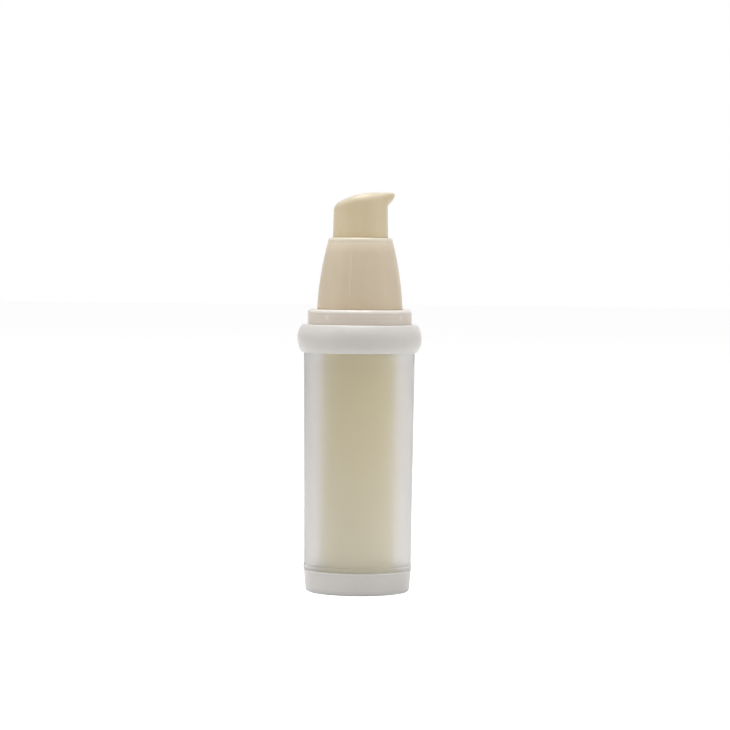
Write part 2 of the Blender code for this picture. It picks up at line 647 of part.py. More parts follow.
def make_pump_housing(material, carrier):
    """Pump chamber that hangs in the neck, with the ball's conical seat and the inlet at its foot."""
    rim = NECK_RADIUS - FIT_GAP
    floor = CHAMBER_FLOOR_Z - HOUSING_Z
    seat_foot = INLET_TOP_Z - HOUSING_Z
    foot = HOUSING_FOOT_Z - HOUSING_Z
    seat_top = INLET_RADIUS + VALVE_SEAT_RISE
    inlet = INLET_RADIUS + INLET_WALL
    shoulder = inlet + INLET_TAPER
    taper_foot = seat_foot - HOUSING_WALL + SMALL_EDGE
    corners = [
        (rim, HOUSING_FLANGE, SMALL_EDGE), (rim, 0), (HOUSING_PLUG_RADIUS, 0),
        (HOUSING_PLUG_RADIUS, -HOUSING_PLUG, SMALL_EDGE), (HOUSING_PLUG_BORE, -HOUSING_PLUG),
        (HOUSING_PLUG_BORE, 0), (HOUSING_RADIUS, 0), (HOUSING_RADIUS, taper_foot + TAPER_RISE),
        (shoulder, taper_foot), (inlet, foot), (INLET_RADIUS, foot), (INLET_RADIUS, seat_foot),
        (seat_top, floor), (CHAMBER_RADIUS, floor), (CHAMBER_RADIUS, HOUSING_FLANGE),
    ]
    return turned("pump_housing", corners, SMALL_STEPS, material, carrier, HOUSING_Z)


def make_inlet_ball(material, carrier):
    """Steel ball of the inlet valve."""
    mesh = bpy.data.meshes.new("inlet_ball")
    work = bmesh.new()
    bmesh.ops.create_uvsphere(work, u_segments=BALL_SIDES, v_segments=BALL_ROWS, radius=BALL_RADIUS)
    work.to_mesh(mesh)
    work.free()
    mesh.shade_smooth()
    return add_piece("inlet_ball", mesh, material, carrier, BALL_Z)


def make_ball_cage(material, carrier):
    """Slotted cage that keeps the ball over its seat."""
    rim = CHAMBER_RADIUS - FIT_GAP
    bore = BALL_RADIUS + CAGE_SPACE
    sleeve = bore + CAGE_WALL
    roof = CAGE_HEIGHT - CAGE_TOP
    corners = [
        (sleeve, CAGE_HEIGHT, SMALL_EDGE), (sleeve, CAGE_FLANGE), (rim, CAGE_FLANGE), (rim, 0), (bore, 0),
        (bore, roof), (CAGE_PORT_RADIUS, roof), (CAGE_PORT_RADIUS, CAGE_HEIGHT),
    ]
    cage = turned("ball_cage", corners, SMALL_STEPS, material, carrier, CAGE_Z)
    for index in range(CAGE_SLOTS):
        combine(cage, make_cage_slot(index, sleeve, carrier), "DIFFERENCE")
    return cage


def make_cage_slot(index, reach, carrier):
    """Box that opens one slot in the cage's sleeve."""
    length = reach + CUT_OVERRUN
    mesh = bpy.data.meshes.new("cage_slot")
    work = bmesh.new()
    bmesh.ops.create_cube(work, size=1)
    bmesh.ops.scale(work, vec=(length, CAGE_SLOT_WIDTH, CAGE_SLOT_HEIGHT), verts=work.verts)
    bmesh.ops.translate(work, vec=(length / 2, 0, CAGE_SLOT_HEIGHT / 2), verts=work.verts)
    turn_by = Matrix.Rotation(math.tau * (index + 0.5) / CAGE_SLOTS, 4, "Z")
    bmesh.ops.transform(work, matrix=turn_by, verts=work.verts)
    work.to_mesh(mesh)
    work.free()
    return add_cutter(f"cage_slot_{index + 1}", mesh, carrier, CAGE_Z + CAGE_FLANGE + SMALL_EDGE)


def make_chamber_cap(material, carrier):
    """Cap that plugs the chamber's top, guides the stem and carries the spring."""
    plug = CHAMBER_RADIUS - FIT_GAP
    guide_top = CAP_FLANGE + GUIDE_RISE
    corners = [
        (GUIDE_RADIUS, guide_top, SMALL_EDGE), (GUIDE_RADIUS, CAP_FLANGE), (CAP_RADIUS, CAP_FLANGE),
        (CAP_RADIUS, 0), (plug, 0), (plug, -CAP_PLUG, SMALL_EDGE), (GUIDE_BORE, -CAP_PLUG),
        (GUIDE_BORE, guide_top),
    ]
    return turned("chamber_cap", corners, SMALL_STEPS, material, carrier, CAP_Z)


def make_screw_closure(material, carrier):
    """Screw cap that clamps the pump's flange on the neck, with a foot flange that centres the collar."""
    foot = CLOSURE_FOOT_Z - CLOSURE_Z
    flange_top = foot + CLOSURE_FLANGE
    corners = [
        (CLOSURE_RADIUS, CLOSURE_PLATE, CLOSURE_EDGE), (CLOSURE_RADIUS, flange_top),
        (CLOSURE_FLANGE_RADIUS, flange_top), (CLOSURE_FLANGE_RADIUS, foot), (CLOSURE_BORE, foot),
        (CLOSURE_BORE, 0), (CLOSURE_PORT_RADIUS, 0), (CLOSURE_PORT_RADIUS, CLOSURE_PLATE),
    ]
    return turned("screw_closure", corners, MEDIUM_STEPS, material, carrier, CLOSURE_Z)


def bell_wall_at(side, height):
    """Radius of the bell's inside at a height, between the points of its side."""
    heights = [point.y for point in reversed(side)]
    radii = [point.x - COLLAR_WALL for point in reversed(side)]
    return float(np.interp(height, heights, radii))


def make_collar(material, carrier):
    """Bell-shaped cover over the closure, with an opening that the head slides through."""
    top = COLLAR_TOP_Z - COLLAR_Z
    shoulder = top - COLLAR_TOP_FILLET
    side = bowed((COLLAR_TOP_RADIUS, shoulder), (COLLAR_FOOT_RADIUS, 0), COLLAR_BOW, COLLAR_BOW_STEPS)
    ledge = CLOSURE_TOP_Z + SEAT_GAP - COLLAR_Z
    ledge_top = ledge + LEDGE_HEIGHT
    ledge_radius = CLOSURE_RADIUS - LEDGE_SET_IN
    inside = [point for point in reversed(side) if 0 < point.y < shoulder]
    below = [(point.x - COLLAR_WALL, point.y) for point in inside if point.y < ledge]
    above = [(point.x - COLLAR_WALL, point.y) for point in inside if point.y > ledge_top]
    corners = [tuple(point) for point in side]
    corners += [(COLLAR_FOOT_RADIUS - COLLAR_WALL, 0)] + below
    corners += [
        (bell_wall_at(side, ledge), ledge), (ledge_radius, ledge), (ledge_radius, ledge_top),
        (bell_wall_at(side, ledge_top), ledge_top),
    ]
    corners += above + [(COLLAR_OPENING, shoulder), (COLLAR_OPENING, top, SMALL_EDGE)]
    corners += [(COLLAR_TOP_RADIUS, top, COLLAR_TOP_FILLET)]
    return turned("collar", corners, LARGE_STEPS, material, carrier, COLLAR_Z)


def spring_path():
    """Centre line of the spring: a close turn at each end and even open turns between them."""
    length = SPRING_SEAT_Z - SEAT_GAP - SPRING_Z - 2 * WIRE_RADIUS
    open_turns = SPRING_TURNS - 2
    open_pitch = (length - 2 * SPRING_END_PITCH) / open_turns
    count = SPRING_TURNS * SPRING_POINTS_PER_TURN
    points = []
    for step in range(count + 1):
        turns = step / SPRING_POINTS_PER_TURN
        closed = min(turns, 1) + max(turns - 1 - open_turns, 0)
        opened = min(max(turns - 1, 0), open_turns)
        height = WIRE_RADIUS + SPRING_END_PITCH * closed + open_pitch * opened
        angle = math.tau * turns
        points.append(Vector((SPRING_RADIUS * math.cos(angle), SPRING_RADIUS * math.sin(angle), height)))
    return points


def least_gap(points):
    """Least clear space between neighbouring turns of the spring, measured on its points."""
    half_turn = SPRING_POINTS_PER_TURN // 2
    pairs = ((first, second) for index, first in enumerate(points) for second in points[index + half_turn:])
    return min((first - second).length for first, second in pairs) - 2 * WIRE_RADIUS


def make_return_spring(material, carrier):
    """Coil spring between the chamber cap and the head, one unbroken wire."""
    points = spring_path()
    print(f"spring: least gap between turns {least_gap(points) / MM:.2f} mm")
    wire = bpy.data.curves.new("return_spring", "CURVE")
    wire.dimensions = "3D"
    wire.bevel_depth = WIRE_RADIUS
    wire.bevel_resolution = SPRING_BEVEL_RESOLUTION
    wire.use_fill_caps = True
    line = wire.splines.new("POLY")
    line.points.add(len(points) - 1)
    for point, place in zip(line.points, points):
        point.co = (*place, 1)
    mesh = curve_to_mesh(add_cutter("spring_wire", wire, carrier, SPRING_Z))
    mesh.shade_smooth()
    return add_piece("return_spring", mesh, material, carrier, SPRING_Z)


def make_stem(material, carrier):
    """Hollow stem with the collar that stops it under the chamber cap."""
    length = SOCKET_TOP_Z - SEAT_GAP - STEM_Z
    collar_top = STEM_COLLAR_TOP_Z - STEM_Z
    collar_foot = collar_top - STEM_COLLAR
    collar = STEM_RADIUS + STEM_COLLAR_REACH
    corners = [
        (STEM_RADIUS, length, SMALL_EDGE), (STEM_RADIUS, collar_top), (collar, collar_top),
        (collar, collar_foot), (STEM_RADIUS, collar_foot), (STEM_RADIUS, 0), (STEM_BORE_RADIUS, 0),
        (STEM_BORE_RADIUS, length),
    ]
    return turned("stem", corners, SMALL_STEPS, material, carrier, STEM_Z)


def make_poppet(material, carrier):
    """Valve on the stem's foot: a stalk in the stem's bore and a flange that the piston lifts off."""
    stalk = STEM_BORE_RADIUS - FIT_GAP
    flange = HUB_RADIUS + POPPET_REACH
    cone = HUB_BORE - POPPET_CONE_SET
    cone_top = POPPET_FLANGE + POPPET_CONE
    top = cone_top + POPPET_STALK
    corners = [
        (0, top), (stalk, top, SMALL_EDGE), (stalk, cone_top), (cone, POPPET_FLANGE), (flange, POPPET_FLANGE),
        (flange, 0, SMALL_EDGE), (0, 0),
    ]
    return turned("poppet", corners, SMALL_STEPS, material, carrier, POPPET_Z)


def make_pump_piston(material, carrier):
    """Soft piston that slides a little on the stem, with a wiping lip up and a wiping lip down."""
    web_foot = (HUB_LENGTH - SEAL_WEB) / 2
    web_top = web_foot + SEAL_WEB
    lip_top = HUB_LENGTH + SEAL_OVERHANG
    root = SEAL_RADIUS - SEAL_LIP_PROUD
    tip_bore = SEAL_RADIUS - SEAL_LIP_TIP
    corners = [
        (SEAL_RADIUS, lip_top), (SEAL_RADIUS, HUB_LENGTH), (root, web_top), (root, web_foot),
        (SEAL_RADIUS, 0), (SEAL_RADIUS, -SEAL_OVERHANG), (tip_bore, -SEAL_OVERHANG),
        (SEAL_INNER_RADIUS, web_foot), (HUB_RADIUS, web_foot), (HUB_RADIUS, 0), (HUB_BORE, 0),
        (HUB_BORE, HUB_LENGTH), (HUB_RADIUS, HUB_LENGTH), (HUB_RADIUS, web_top),
        (SEAL_INNER_RADIUS, web_top), (tip_bore, lip_top),
    ]
    return turned("pump_piston", corners, SMALL_STEPS, material, carrier, SEAL_Z)


def head_radius(height):
    """Radius of the head's round wall at heights above its foot, narrowing upwards."""
    return HEAD_FOOT_RADIUS - HEAD_TAPER * height / (HEAD_TOP_Z - HEAD_Z)


def crown_height(across):
    """Height of the crown above the head's foot where it is cut by the plane of symmetry.

    It is level from CROWN_LEVEL_START forwards, and behind it follows the arc that falls by CROWN_FALL
    at the back edge.
    """
    run = CROWN_LEVEL_START + HEAD_FOOT_RADIUS
    radius = (run * run + CROWN_FALL * CROWN_FALL) / (2 * CROWN_FALL)
    behind = np.maximum(CROWN_LEVEL_START - across, 0)
    return HEAD_TOP_Z - HEAD_Z - radius + np.sqrt(radius * radius - behind * behind)


def crown_slope(across):
    """Slope of that line, rising forwards."""
    run = CROWN_LEVEL_START + HEAD_FOOT_RADIUS
    radius = (run * run + CROWN_FALL * CROWN_FALL) / (2 * CROWN_FALL)
    behind = np.maximum(CROWN_LEVEL_START - across, 0)
    return behind / np.sqrt(radius * radius - behind * behind)


def beak_reach(angles, heights):
    """How far the beak stands out of the round wall: a smooth step up the front, narrow across it."""
    foot = HEAD_TOP_Z - HEAD_Z - BEAK_FOOT_DROP
    share = np.clip((heights - foot) / (BEAK_FOOT_DROP - BEAK_TOP_DROP), 0, 1)
    step = share * share * (3 - 2 * share)
    return BEAK_REACH * step * np.maximum(np.cos(angles), 0) ** BEAK_SHARPNESS


def loft_angles(sides):
    """Angles round the head, closer together at the beak."""
    even = math.tau * np.arange(sides) / sides
    return even - HEAD_SIDE_CROWDING * np.sin(even)


def ring_points(angles, radii, heights):
    """One ring of the loft as points."""
    return np.stack([radii * np.cos(angles), radii * np.sin(angles), heights], axis=1)


def head_rings():
    """Rings of the head's outside: skirt, wall with the beak, rounded edge and dished crown."""
    angles = loft_angles(HEAD_SIDES)
    level = np.ones(HEAD_SIDES)
    loft_start = LOFT_START_SHARE * (HEAD_TOP_Z - HEAD_Z)
    front = np.maximum(np.cos(angles), 0) ** TIP_EDGE_SHARPNESS
    edge = BACK_EDGE + (TIP_EDGE - BACK_EDGE) * front
    top_radius = head_radius(HEAD_TOP_Z - HEAD_Z) + beak_reach(angles, level * (HEAD_TOP_Z - HEAD_Z))
    lean = np.arctan(-crown_slope((top_radius - edge) * np.cos(angles)) * np.cos(angles))
    rim_radius = top_radius - edge + edge * np.sin(lean)
    rim_height = crown_height(rim_radius * np.cos(angles))
    centre_height = rim_height - edge * np.cos(lean)
    rings = [ring_points(angles, level * head_radius(0), level * 0)]
    for share in HEAD_WALL_SHARES:
        heights = loft_start + share * (centre_height - loft_start)
        radii = head_radius(heights) + beak_reach(angles, heights)
        rings.append(ring_points(angles, radii, heights))
    wall = head_radius(centre_height) + beak_reach(angles, centre_height)
    for step in range(1, HEAD_EDGE_STEPS + 1):
        swing = (math.pi / 2 - lean) * step / HEAD_EDGE_STEPS
        radii = wall - edge + edge * np.cos(swing)
        rings.append(ring_points(angles, radii, centre_height + edge * np.sin(swing)))
    rim = wall - edge + edge * np.sin(lean)
    for share in CROWN_SHARES:
        radii = rim * share
        dish = DISH_DEPTH * (1 - share * share) ** 2
        rings.append(ring_points(angles, radii, crown_height(radii * np.cos(angles)) - dish))
    return rings, float(crown_height(0) - DISH_DEPTH)


def cavity_rings():
    """Rings of the space under the head's crown, inside its wall."""
    angles = loft_angles(CAVITY_SIDES)
    level = np.ones(CAVITY_SIDES)
    foot = -CUT_OVERRUN
    drop = HEAD_CROWN_WALL + DISH_DEPTH
    top_radius = head_radius(HEAD_TOP_Z - HEAD_Z) - HEAD_WALL
    rings = [ring_points(angles, level * (head_radius(0) - HEAD_WALL), level * foot)]
    rings.append(ring_points(angles, level * top_radius, crown_height(top_radius * np.cos(angles)) - drop))
    for share in CROWN_SHARES:
        radii = level * top_radius * share
        rings.append(ring_points(angles, radii, crown_height(radii * np.cos(angles)) - drop))
    return rings, float(crown_height(0) - drop)


def loft(name, rings, crown):
    """Closed mesh through rings of points, with a flat foot and a point on the axis at the top."""
    sides = len(rings[0])
    work = bmesh.new()
    rows = [[work.verts.new(point) for point in ring] for ring in rings]
    work.faces.new(reversed(rows[0]))
    for lower, upper in zip(rows, rows[1:]):
        for side in range(sides):
            following = (side + 1) % sides
            work.faces.new((lower[side], lower[following], upper[following], upper[side]))
    peak = work.verts.new((0, 0, crown))
    for side in range(sides):
        work.faces.new((rows[-1][side], rows[-1][(side + 1) % sides], peak))
    mesh = bpy.data.meshes.new(name)
    work.to_mesh(mesh)
    work.free()
    return mesh


def make_channel(name, radius, length, carrier):
    """Cylinder along the nozzle's channel, from the axis towards the beak."""
    top = HEAD_TOP_Z - HEAD_Z
    tip = HEAD_FOOT_RADIUS - HEAD_TAPER + BEAK_REACH
    start = Vector((0, 0, top - CHANNEL_DROP_AT_AXIS))
    direction = Vector((tip, 0, CHANNEL_DROP_AT_AXIS - CHANNEL_DROP_AT_TIP)).normalized()
    mesh = bpy.data.meshes.new(name)
    work = bmesh.new()
    bmesh.ops.create_cone(
        work, cap_ends=True, segments=CHANNEL_SIDES, radius1=radius, radius2=radius, depth=length
    )
    aim = direction.to_track_quat("Z", "Y").to_matrix().to_4x4()
    place = Matrix.Translation(start + direction * (length / 2)) @ aim
    bmesh.ops.transform(work, matrix=place, verts=work.verts)
    work.to_mesh(mesh)
    work.free()
    return add_cutter(name, mesh, carrier, HEAD_Z)


def make_actuator_head(material, carrier):
    """Press head with a beaked nozzle: a lofted shell with the stem's socket, the spring's seat and bores."""
    top = HEAD_TOP_Z - HEAD_Z
    rings, crown = head_rings()
    head = add_piece("actuator_head", loft("actuator_head", rings, crown), material, carrier, HEAD_Z)
    rings, crown = cavity_rings()
    cavity = add_cutter("head_cavity", loft("head_cavity", rings, crown), carrier, HEAD_Z)
    socket_bore = STEM_RADIUS + FIT_GAP
    socket = socket_bore + SOCKET_WALL
    land = SPRING_RADIUS + WIRE_RADIUS + SPRING_SEAT_LAND
    core = turned_cutter("head_core", [
        (0, top), (land, top), (land, SPRING_SEAT_RISE), (socket, SPRING_SEAT_RISE), (socket, SOCKET_FOOT),
        (0, SOCKET_FOOT),
    ], SMALL_STEPS, carrier, HEAD_Z)
    combine(cavity, core, "DIFFERENCE")
    combine(cavity, make_channel("head_conduit", CONDUIT_RADIUS, HEAD_FOOT_RADIUS, carrier), "DIFFERENCE")
    combine(head, cavity, "DIFFERENCE")
    riser_top = top - CHANNEL_DROP_AT_AXIS + CHANNEL_RADIUS
    bore_foot = SOCKET_FOOT - CUT_OVERRUN
    bore = turned_cutter("head_bore", [
        (0, riser_top), (RISER_RADIUS, riser_top), (RISER_RADIUS, SOCKET_TOP), (socket_bore, SOCKET_TOP),
        (socket_bore, bore_foot), (0, bore_foot),
    ], SMALL_STEPS, carrier, HEAD_Z)
    combine(head, bore, "DIFFERENCE")
    reach = HEAD_FOOT_RADIUS + BEAK_REACH + CUT_OVERRUN
    combine(head, make_channel("nozzle_channel", CHANNEL_RADIUS, reach, carrier), "DIFFERENCE")
    return head


def main():
    """Build the whole bottle, body by body."""
    clear_scene()
    make_collection(PART_NAME)
    make_collection(CUTTER_NAME)
    white = make_material("white_abs", (0.74, 0.75, 0.76), 0.32)
    frosted = make_material("frosted_as", (0.82, 0.82, 0.80), 0.5, alpha=0.45)
    ivory = make_material("ivory_pp", (0.66, 0.57, 0.45), 0.35)
    cream = make_material("cream_pp", (0.60, 0.50, 0.34), 0.35)
    cup_cream = make_material("cream_cup", (0.58, 0.48, 0.29), 0.4)
    natural = make_material("natural_pp", (0.80, 0.80, 0.78), 0.35)
    soft = make_material("soft_pe", (0.72, 0.73, 0.74), 0.5)
    steel = make_material("steel", (0.55, 0.55, 0.55), 0.25, metallic=1.0)

    case = make_body("case", None, 0)
    make_base_cap(white, case)
    make_outer_bottle(frosted, case)
    make_shoulder_ring(white, case)

    cartridge = make_body("cartridge", case, SEAT_Z)
    make_inner_bottle(cup_cream, cartridge)
    make_seat_ring(ivory, cartridge)
    make_bottom_plug(natural, cartridge)
    make_follower_piston(soft, make_body("follower", cartridge, FOLLOWER_Z))

    pump = make_body("pump", cartridge, HOUSING_Z)
    make_neck_gasket(soft, pump)
    make_pump_housing(natural, pump)
    make_ball_cage(natural, pump)
    make_chamber_cap(natural, pump)
    make_return_spring(steel, pump)
    make_inlet_ball(steel, make_body("ball", pump, BALL_Z))

    closure = make_body("closure", pump, CLOSURE_Z)
    make_screw_closure(natural, closure)
    make_collar(cream, closure)

    plunger = make_body("plunger", pump, STEM_Z)
    make_stem(natural, plunger)
    make_poppet(natural, plunger)
    make_pump_piston(soft, make_body("seal", plunger, SEAL_Z))
    make_actuator_head(cream, make_body("head", plunger, HEAD_Z))


main()
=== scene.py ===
"""Looks of an airless lotion bottle: a frosted outer case, a cream cartridge and its push-down pump.

Lengths are in metres in the frame's coordinates: +Z is up, the bottle's axis stands at the origin, the
standing plane is at height zero and the nozzle points towards +X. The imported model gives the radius, the
foot and the top of every piece; walls, roundings and other small sizes are fields of the class that builds
it.

A turned piece is an outline of radii and heights carried round the axis. The head is a lofted surface over
the angle round the axis and the run from crown to foot, and the spring is a circle carried along its coil.
"""

from __future__ import annotations

import logging
import math
from collections.abc import Callable
from dataclasses import dataclass
from enum import Enum
from typing import NamedTuple

import bmesh
import bpy
import numpy as np
from bpy.types import ID, Material, Mesh, Node, NodeOutputs, NodeSocket, NodeTree, Object
from mathutils import Matrix, Vector


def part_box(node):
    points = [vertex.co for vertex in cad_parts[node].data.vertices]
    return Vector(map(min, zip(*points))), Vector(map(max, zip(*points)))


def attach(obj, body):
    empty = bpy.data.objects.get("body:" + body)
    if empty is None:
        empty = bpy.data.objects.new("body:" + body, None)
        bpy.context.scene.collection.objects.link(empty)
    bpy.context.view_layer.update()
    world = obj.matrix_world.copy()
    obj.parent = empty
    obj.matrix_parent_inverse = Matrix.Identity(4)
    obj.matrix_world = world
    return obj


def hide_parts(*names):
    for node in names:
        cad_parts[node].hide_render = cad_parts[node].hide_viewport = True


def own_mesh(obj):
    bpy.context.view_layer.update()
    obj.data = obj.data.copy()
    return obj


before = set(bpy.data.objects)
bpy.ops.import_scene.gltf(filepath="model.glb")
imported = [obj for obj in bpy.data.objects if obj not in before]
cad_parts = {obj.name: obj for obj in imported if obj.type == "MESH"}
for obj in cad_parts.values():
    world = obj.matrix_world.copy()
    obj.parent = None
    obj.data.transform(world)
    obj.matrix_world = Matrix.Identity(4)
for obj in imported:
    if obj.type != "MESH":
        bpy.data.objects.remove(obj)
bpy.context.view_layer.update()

LOG = logging.getLogger("lotion_bottle")

MM = 0.001
Array = np.ndarray
Colour = tuple[float, float, float]
Marked = tuple[Array, Array]  # radii or points, and the share of an edge at each
Shaper = Callable[[Array, Array, Array], Marked]
WHITE = (1.0, 1.0, 1.0, 1.0)

# Fineness of the surfaces
WIDE_SIDES = 160
MIDDLE_SIDES = 112
SMALL_SIDES = 72
BEAD_SIDES = 288
ROUNDING_STEPS = 6
LEAST_ROUNDING = 0.08 * MM
HOLD = 0.15 * MM  # distance of the point that keeps a flat face flat beside a rounding
HOLD_SHARE = 0.25
ROOM_SHARE = 0.9  # most of an outline's edge that the roundings at its ends may take
MERGE_DISTANCE = 1e-5 * MM
TOUCH = 1e-3 * MM  # how near a point on a wall is to the wall's radius
SHARP_ANGLE = math.radians(38)
ON_CURVE = -1.0  # rounding of a point that lies on a curve and isn't a corner

# Limits that keep a division or a tangent finite
TINY = 1e-9
LEAST_HALF_ANGLE = 1e-2
LEAST_BEND = 1e-4

# Octaves in the noise of the materials
CLOUD_DETAIL = 3.0
MIDDLE_DETAIL = 2.0
GRAIN_DETAIL = 1.0

# Radius of the stem, which the chamber cap guides
STEM_RADIUS = 2.6 * MM

# Clearances that the CAD pieces have between them
FIT_GAP = 0.2 * MM
SEAT_GAP = 0.2 * MM
SEAM = 0.03 * MM  # what the looks leave of a seat's gap where the photograph shows no dark line


class Body(Enum):
    """Bodies of the frame that pieces ride on."""

    CASE = "case"
    CARTRIDGE = "cartridge"
    FOLLOWER = "follower"
    PUMP = "pump"
    CLOSURE = "closure"
    PLUNGER = "plunger"
    HEAD = "head"
    SEAL = "seal"
    BALL = "ball"


class Slot(Enum):
    """Material slots of the record."""

    WHITE = "white_abs"
    FROSTED = "frosted_as"
    IVORY = "ivory_pp"
    CREAM = "cream_pp"
    CUP = "cream_cup"
    NATURAL = "natural_pp"
    SOFT = "soft_pe"
    STEEL = "steel"


class Extent(NamedTuple):
    """Radius, foot and top of a CAD node.

    Attributes:
        radius: Widest radius, measured at -X, where no nozzle stands out.
        foot: Lowest height.
        top: Highest height.
    """

    radius: float
    foot: float
    top: float

    @classmethod
    def of(cls, node: str) -> Extent:
        """Read a CAD node's extent from the frame."""
        low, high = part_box(node)
        return cls(-low.x, low.z, high.z)


@dataclass(frozen=True)
class Bow:
    """The arc of an outline that bows outwards between two places.

    The circle through both places with the bow as its sagitta has the radius (half^2 + bow^2) / (2 bow),
    where half is half the chord. Its centre lies inwards of the chord's middle by that radius less the bow.

    Attributes:
        upper: Radius and height of the arc's upper end.
        lower: Radius and height of its lower end.
        bow: How far it stands out from the straight line.
    """

    upper: tuple[float, float]
    lower: tuple[float, float]
    bow: float

    def radius_at(self, heights: Array | float) -> Array | float:
        """Radius of the outline at heights: the centre's, plus the root of radius^2 - (height - centre)^2.

        Args:
            heights: One height or an array of heights.

        Returns:
            The radius at each height.
        """
        upper, lower = np.array(self.upper), np.array(self.lower)
        chord = lower - upper
        half = np.linalg.norm(chord) / 2
        radius = (half * half + self.bow * self.bow) / (2 * self.bow)
        outwards = np.array([-chord[1], chord[0]]) / np.linalg.norm(chord)
        centre = (upper + lower) / 2 + outwards * (self.bow - radius)
        return centre[0] + np.sqrt(radius * radius - (heights - centre[1]) ** 2)

    def points(self, start: float, end: float, count: int, inset: float = 0.0) -> Array:
        """Points of the arc between two heights, as rows of an outline.

        Args:
            start: Height of the first point.
            end: Height of the last point.
            count: Number of points.
            inset: Distance that is taken off each radius, for the inner side of a wall.

        Returns:
            Rows of radius, height and the mark of a point on a curve.
        """
        heights = np.linspace(start, end, count)
        return np.stack([self.radius_at(heights) - inset, heights, np.full(count, ON_CURVE)], axis=1)


def smooth_step(share: Array | float) -> Array:
    """Smooth step 3s^2 - 2s^3 of a share that is held between 0 and 1."""
    held = np.clip(share, 0.0, 1.0)
    return held * held * (3 - 2 * held)


def straight(start: tuple[float, float], end: tuple[float, float], count: int) -> Array:
    """Evenly spaced rows of an outline on the straight line between two places.

    Args:
        start: Radius and height of the first point.
        end: Radius and height of the last point.
        count: Number of points.

    Returns:
        Rows of radius, height and the mark of a point on a curve.
    """
    places = np.linspace(start, end, count)
    return np.column_stack([places, np.full(count, ON_CURVE)])


def outline(*items: tuple[float, ...] | Array) -> Array:
    """Stack the corners and curves of an outline.

    Args:
        items: Corners as (radius, height) or (radius, height, rounding), and arrays of rows from curves.

    Returns:
        Rows of radius, height and rounding.
    """
    rows = [item if isinstance(item, Array) else [(*item, LEAST_ROUNDING)[:3]] for item in items]
    return np.vstack(rows)


def rounded(corners: Array) -> Marked:
    """Round an outline's corners.

    At a corner with unit directions u and v to its neighbours and the half angle h between them, an arc of
    radius r starts at u t and ends at v t from the corner, with t = r / tan(h). Its centre lies t / cos(h)
    from the corner along u + v, and its points are its first spoke turned in equal steps by
    180 degrees - 2h. One point stands just outside each end of the arc.

    Args:
        corners: Rows of radius, height and rounding, as outline() gives them.

    Returns:
        Rows of radius and height, and beside each the share 0 to 1 of an edge: 1 on a rounding.
    """
    places, rounding = corners[:, :2], corners[:, 2]
    towards = np.roll(places, 1, axis=0) - places
    onwards = np.roll(places, -1, axis=0) - places
    behind, ahead = np.linalg.norm(towards, axis=1), np.linalg.norm(onwards, axis=1)
    towards, onwards = towards / behind[:, None], onwards / ahead[:, None]
    half = np.arccos(np.clip(np.sum(towards * onwards, axis=1), -1.0, 1.0)) / 2
    half = np.clip(half, LEAST_HALF_ANGLE, math.pi / 2 - LEAST_BEND)

    wanted = np.maximum(rounding, 0.0) / np.tan(half)
    room_behind = behind / np.maximum(wanted + np.roll(wanted, 1), TINY)
    room_ahead = ahead / np.maximum(wanted + np.roll(wanted, -1), TINY)
    reach = wanted * np.minimum(1.0, ROOM_SHARE * np.minimum(room_behind, room_ahead))

    middle = towards + onwards
    middle /= np.maximum(np.linalg.norm(middle, axis=1), TINY)[:, None]
    centre = places + middle * (reach / np.cos(half))[:, None]
    spoke = places + towards * reach[:, None] - centre
    side = np.sign(towards[:, 0] * onwards[:, 1] - towards[:, 1] * onwards[:, 0])
    swing = -side[:, None] * (math.pi - 2 * half)[:, None] * np.linspace(0, 1, ROUNDING_STEPS + 1)
    cosine, sine = np.cos(swing), np.sin(swing)
    arc = np.stack([centre[:, :1] + spoke[:, :1] * cosine - spoke[:, 1:] * sine,
                    centre[:, 1:] + spoke[:, :1] * sine + spoke[:, 1:] * cosine], axis=-1)

    hold_behind = np.minimum(HOLD, HOLD_SHARE * (behind - reach - np.roll(reach, 1)))
    hold_ahead = np.minimum(HOLD, HOLD_SHARE * (ahead - reach - np.roll(reach, -1)))
    first = places + towards * (reach + hold_behind)[:, None]
    last = places + onwards * (reach + hold_ahead)[:, None]
    every = np.concatenate([first[:, None], arc, last[:, None]], axis=1)
    on_curve = rounding < 0
    every[on_curve, 0] = places[on_curve]
    keep = np.ones(every.shape[:2], bool)
    keep[on_curve, 1:] = False
    edge = np.ones(every.shape[:2])
    edge[:, [0, -1]] = 0.0
    return every[keep], edge[keep]


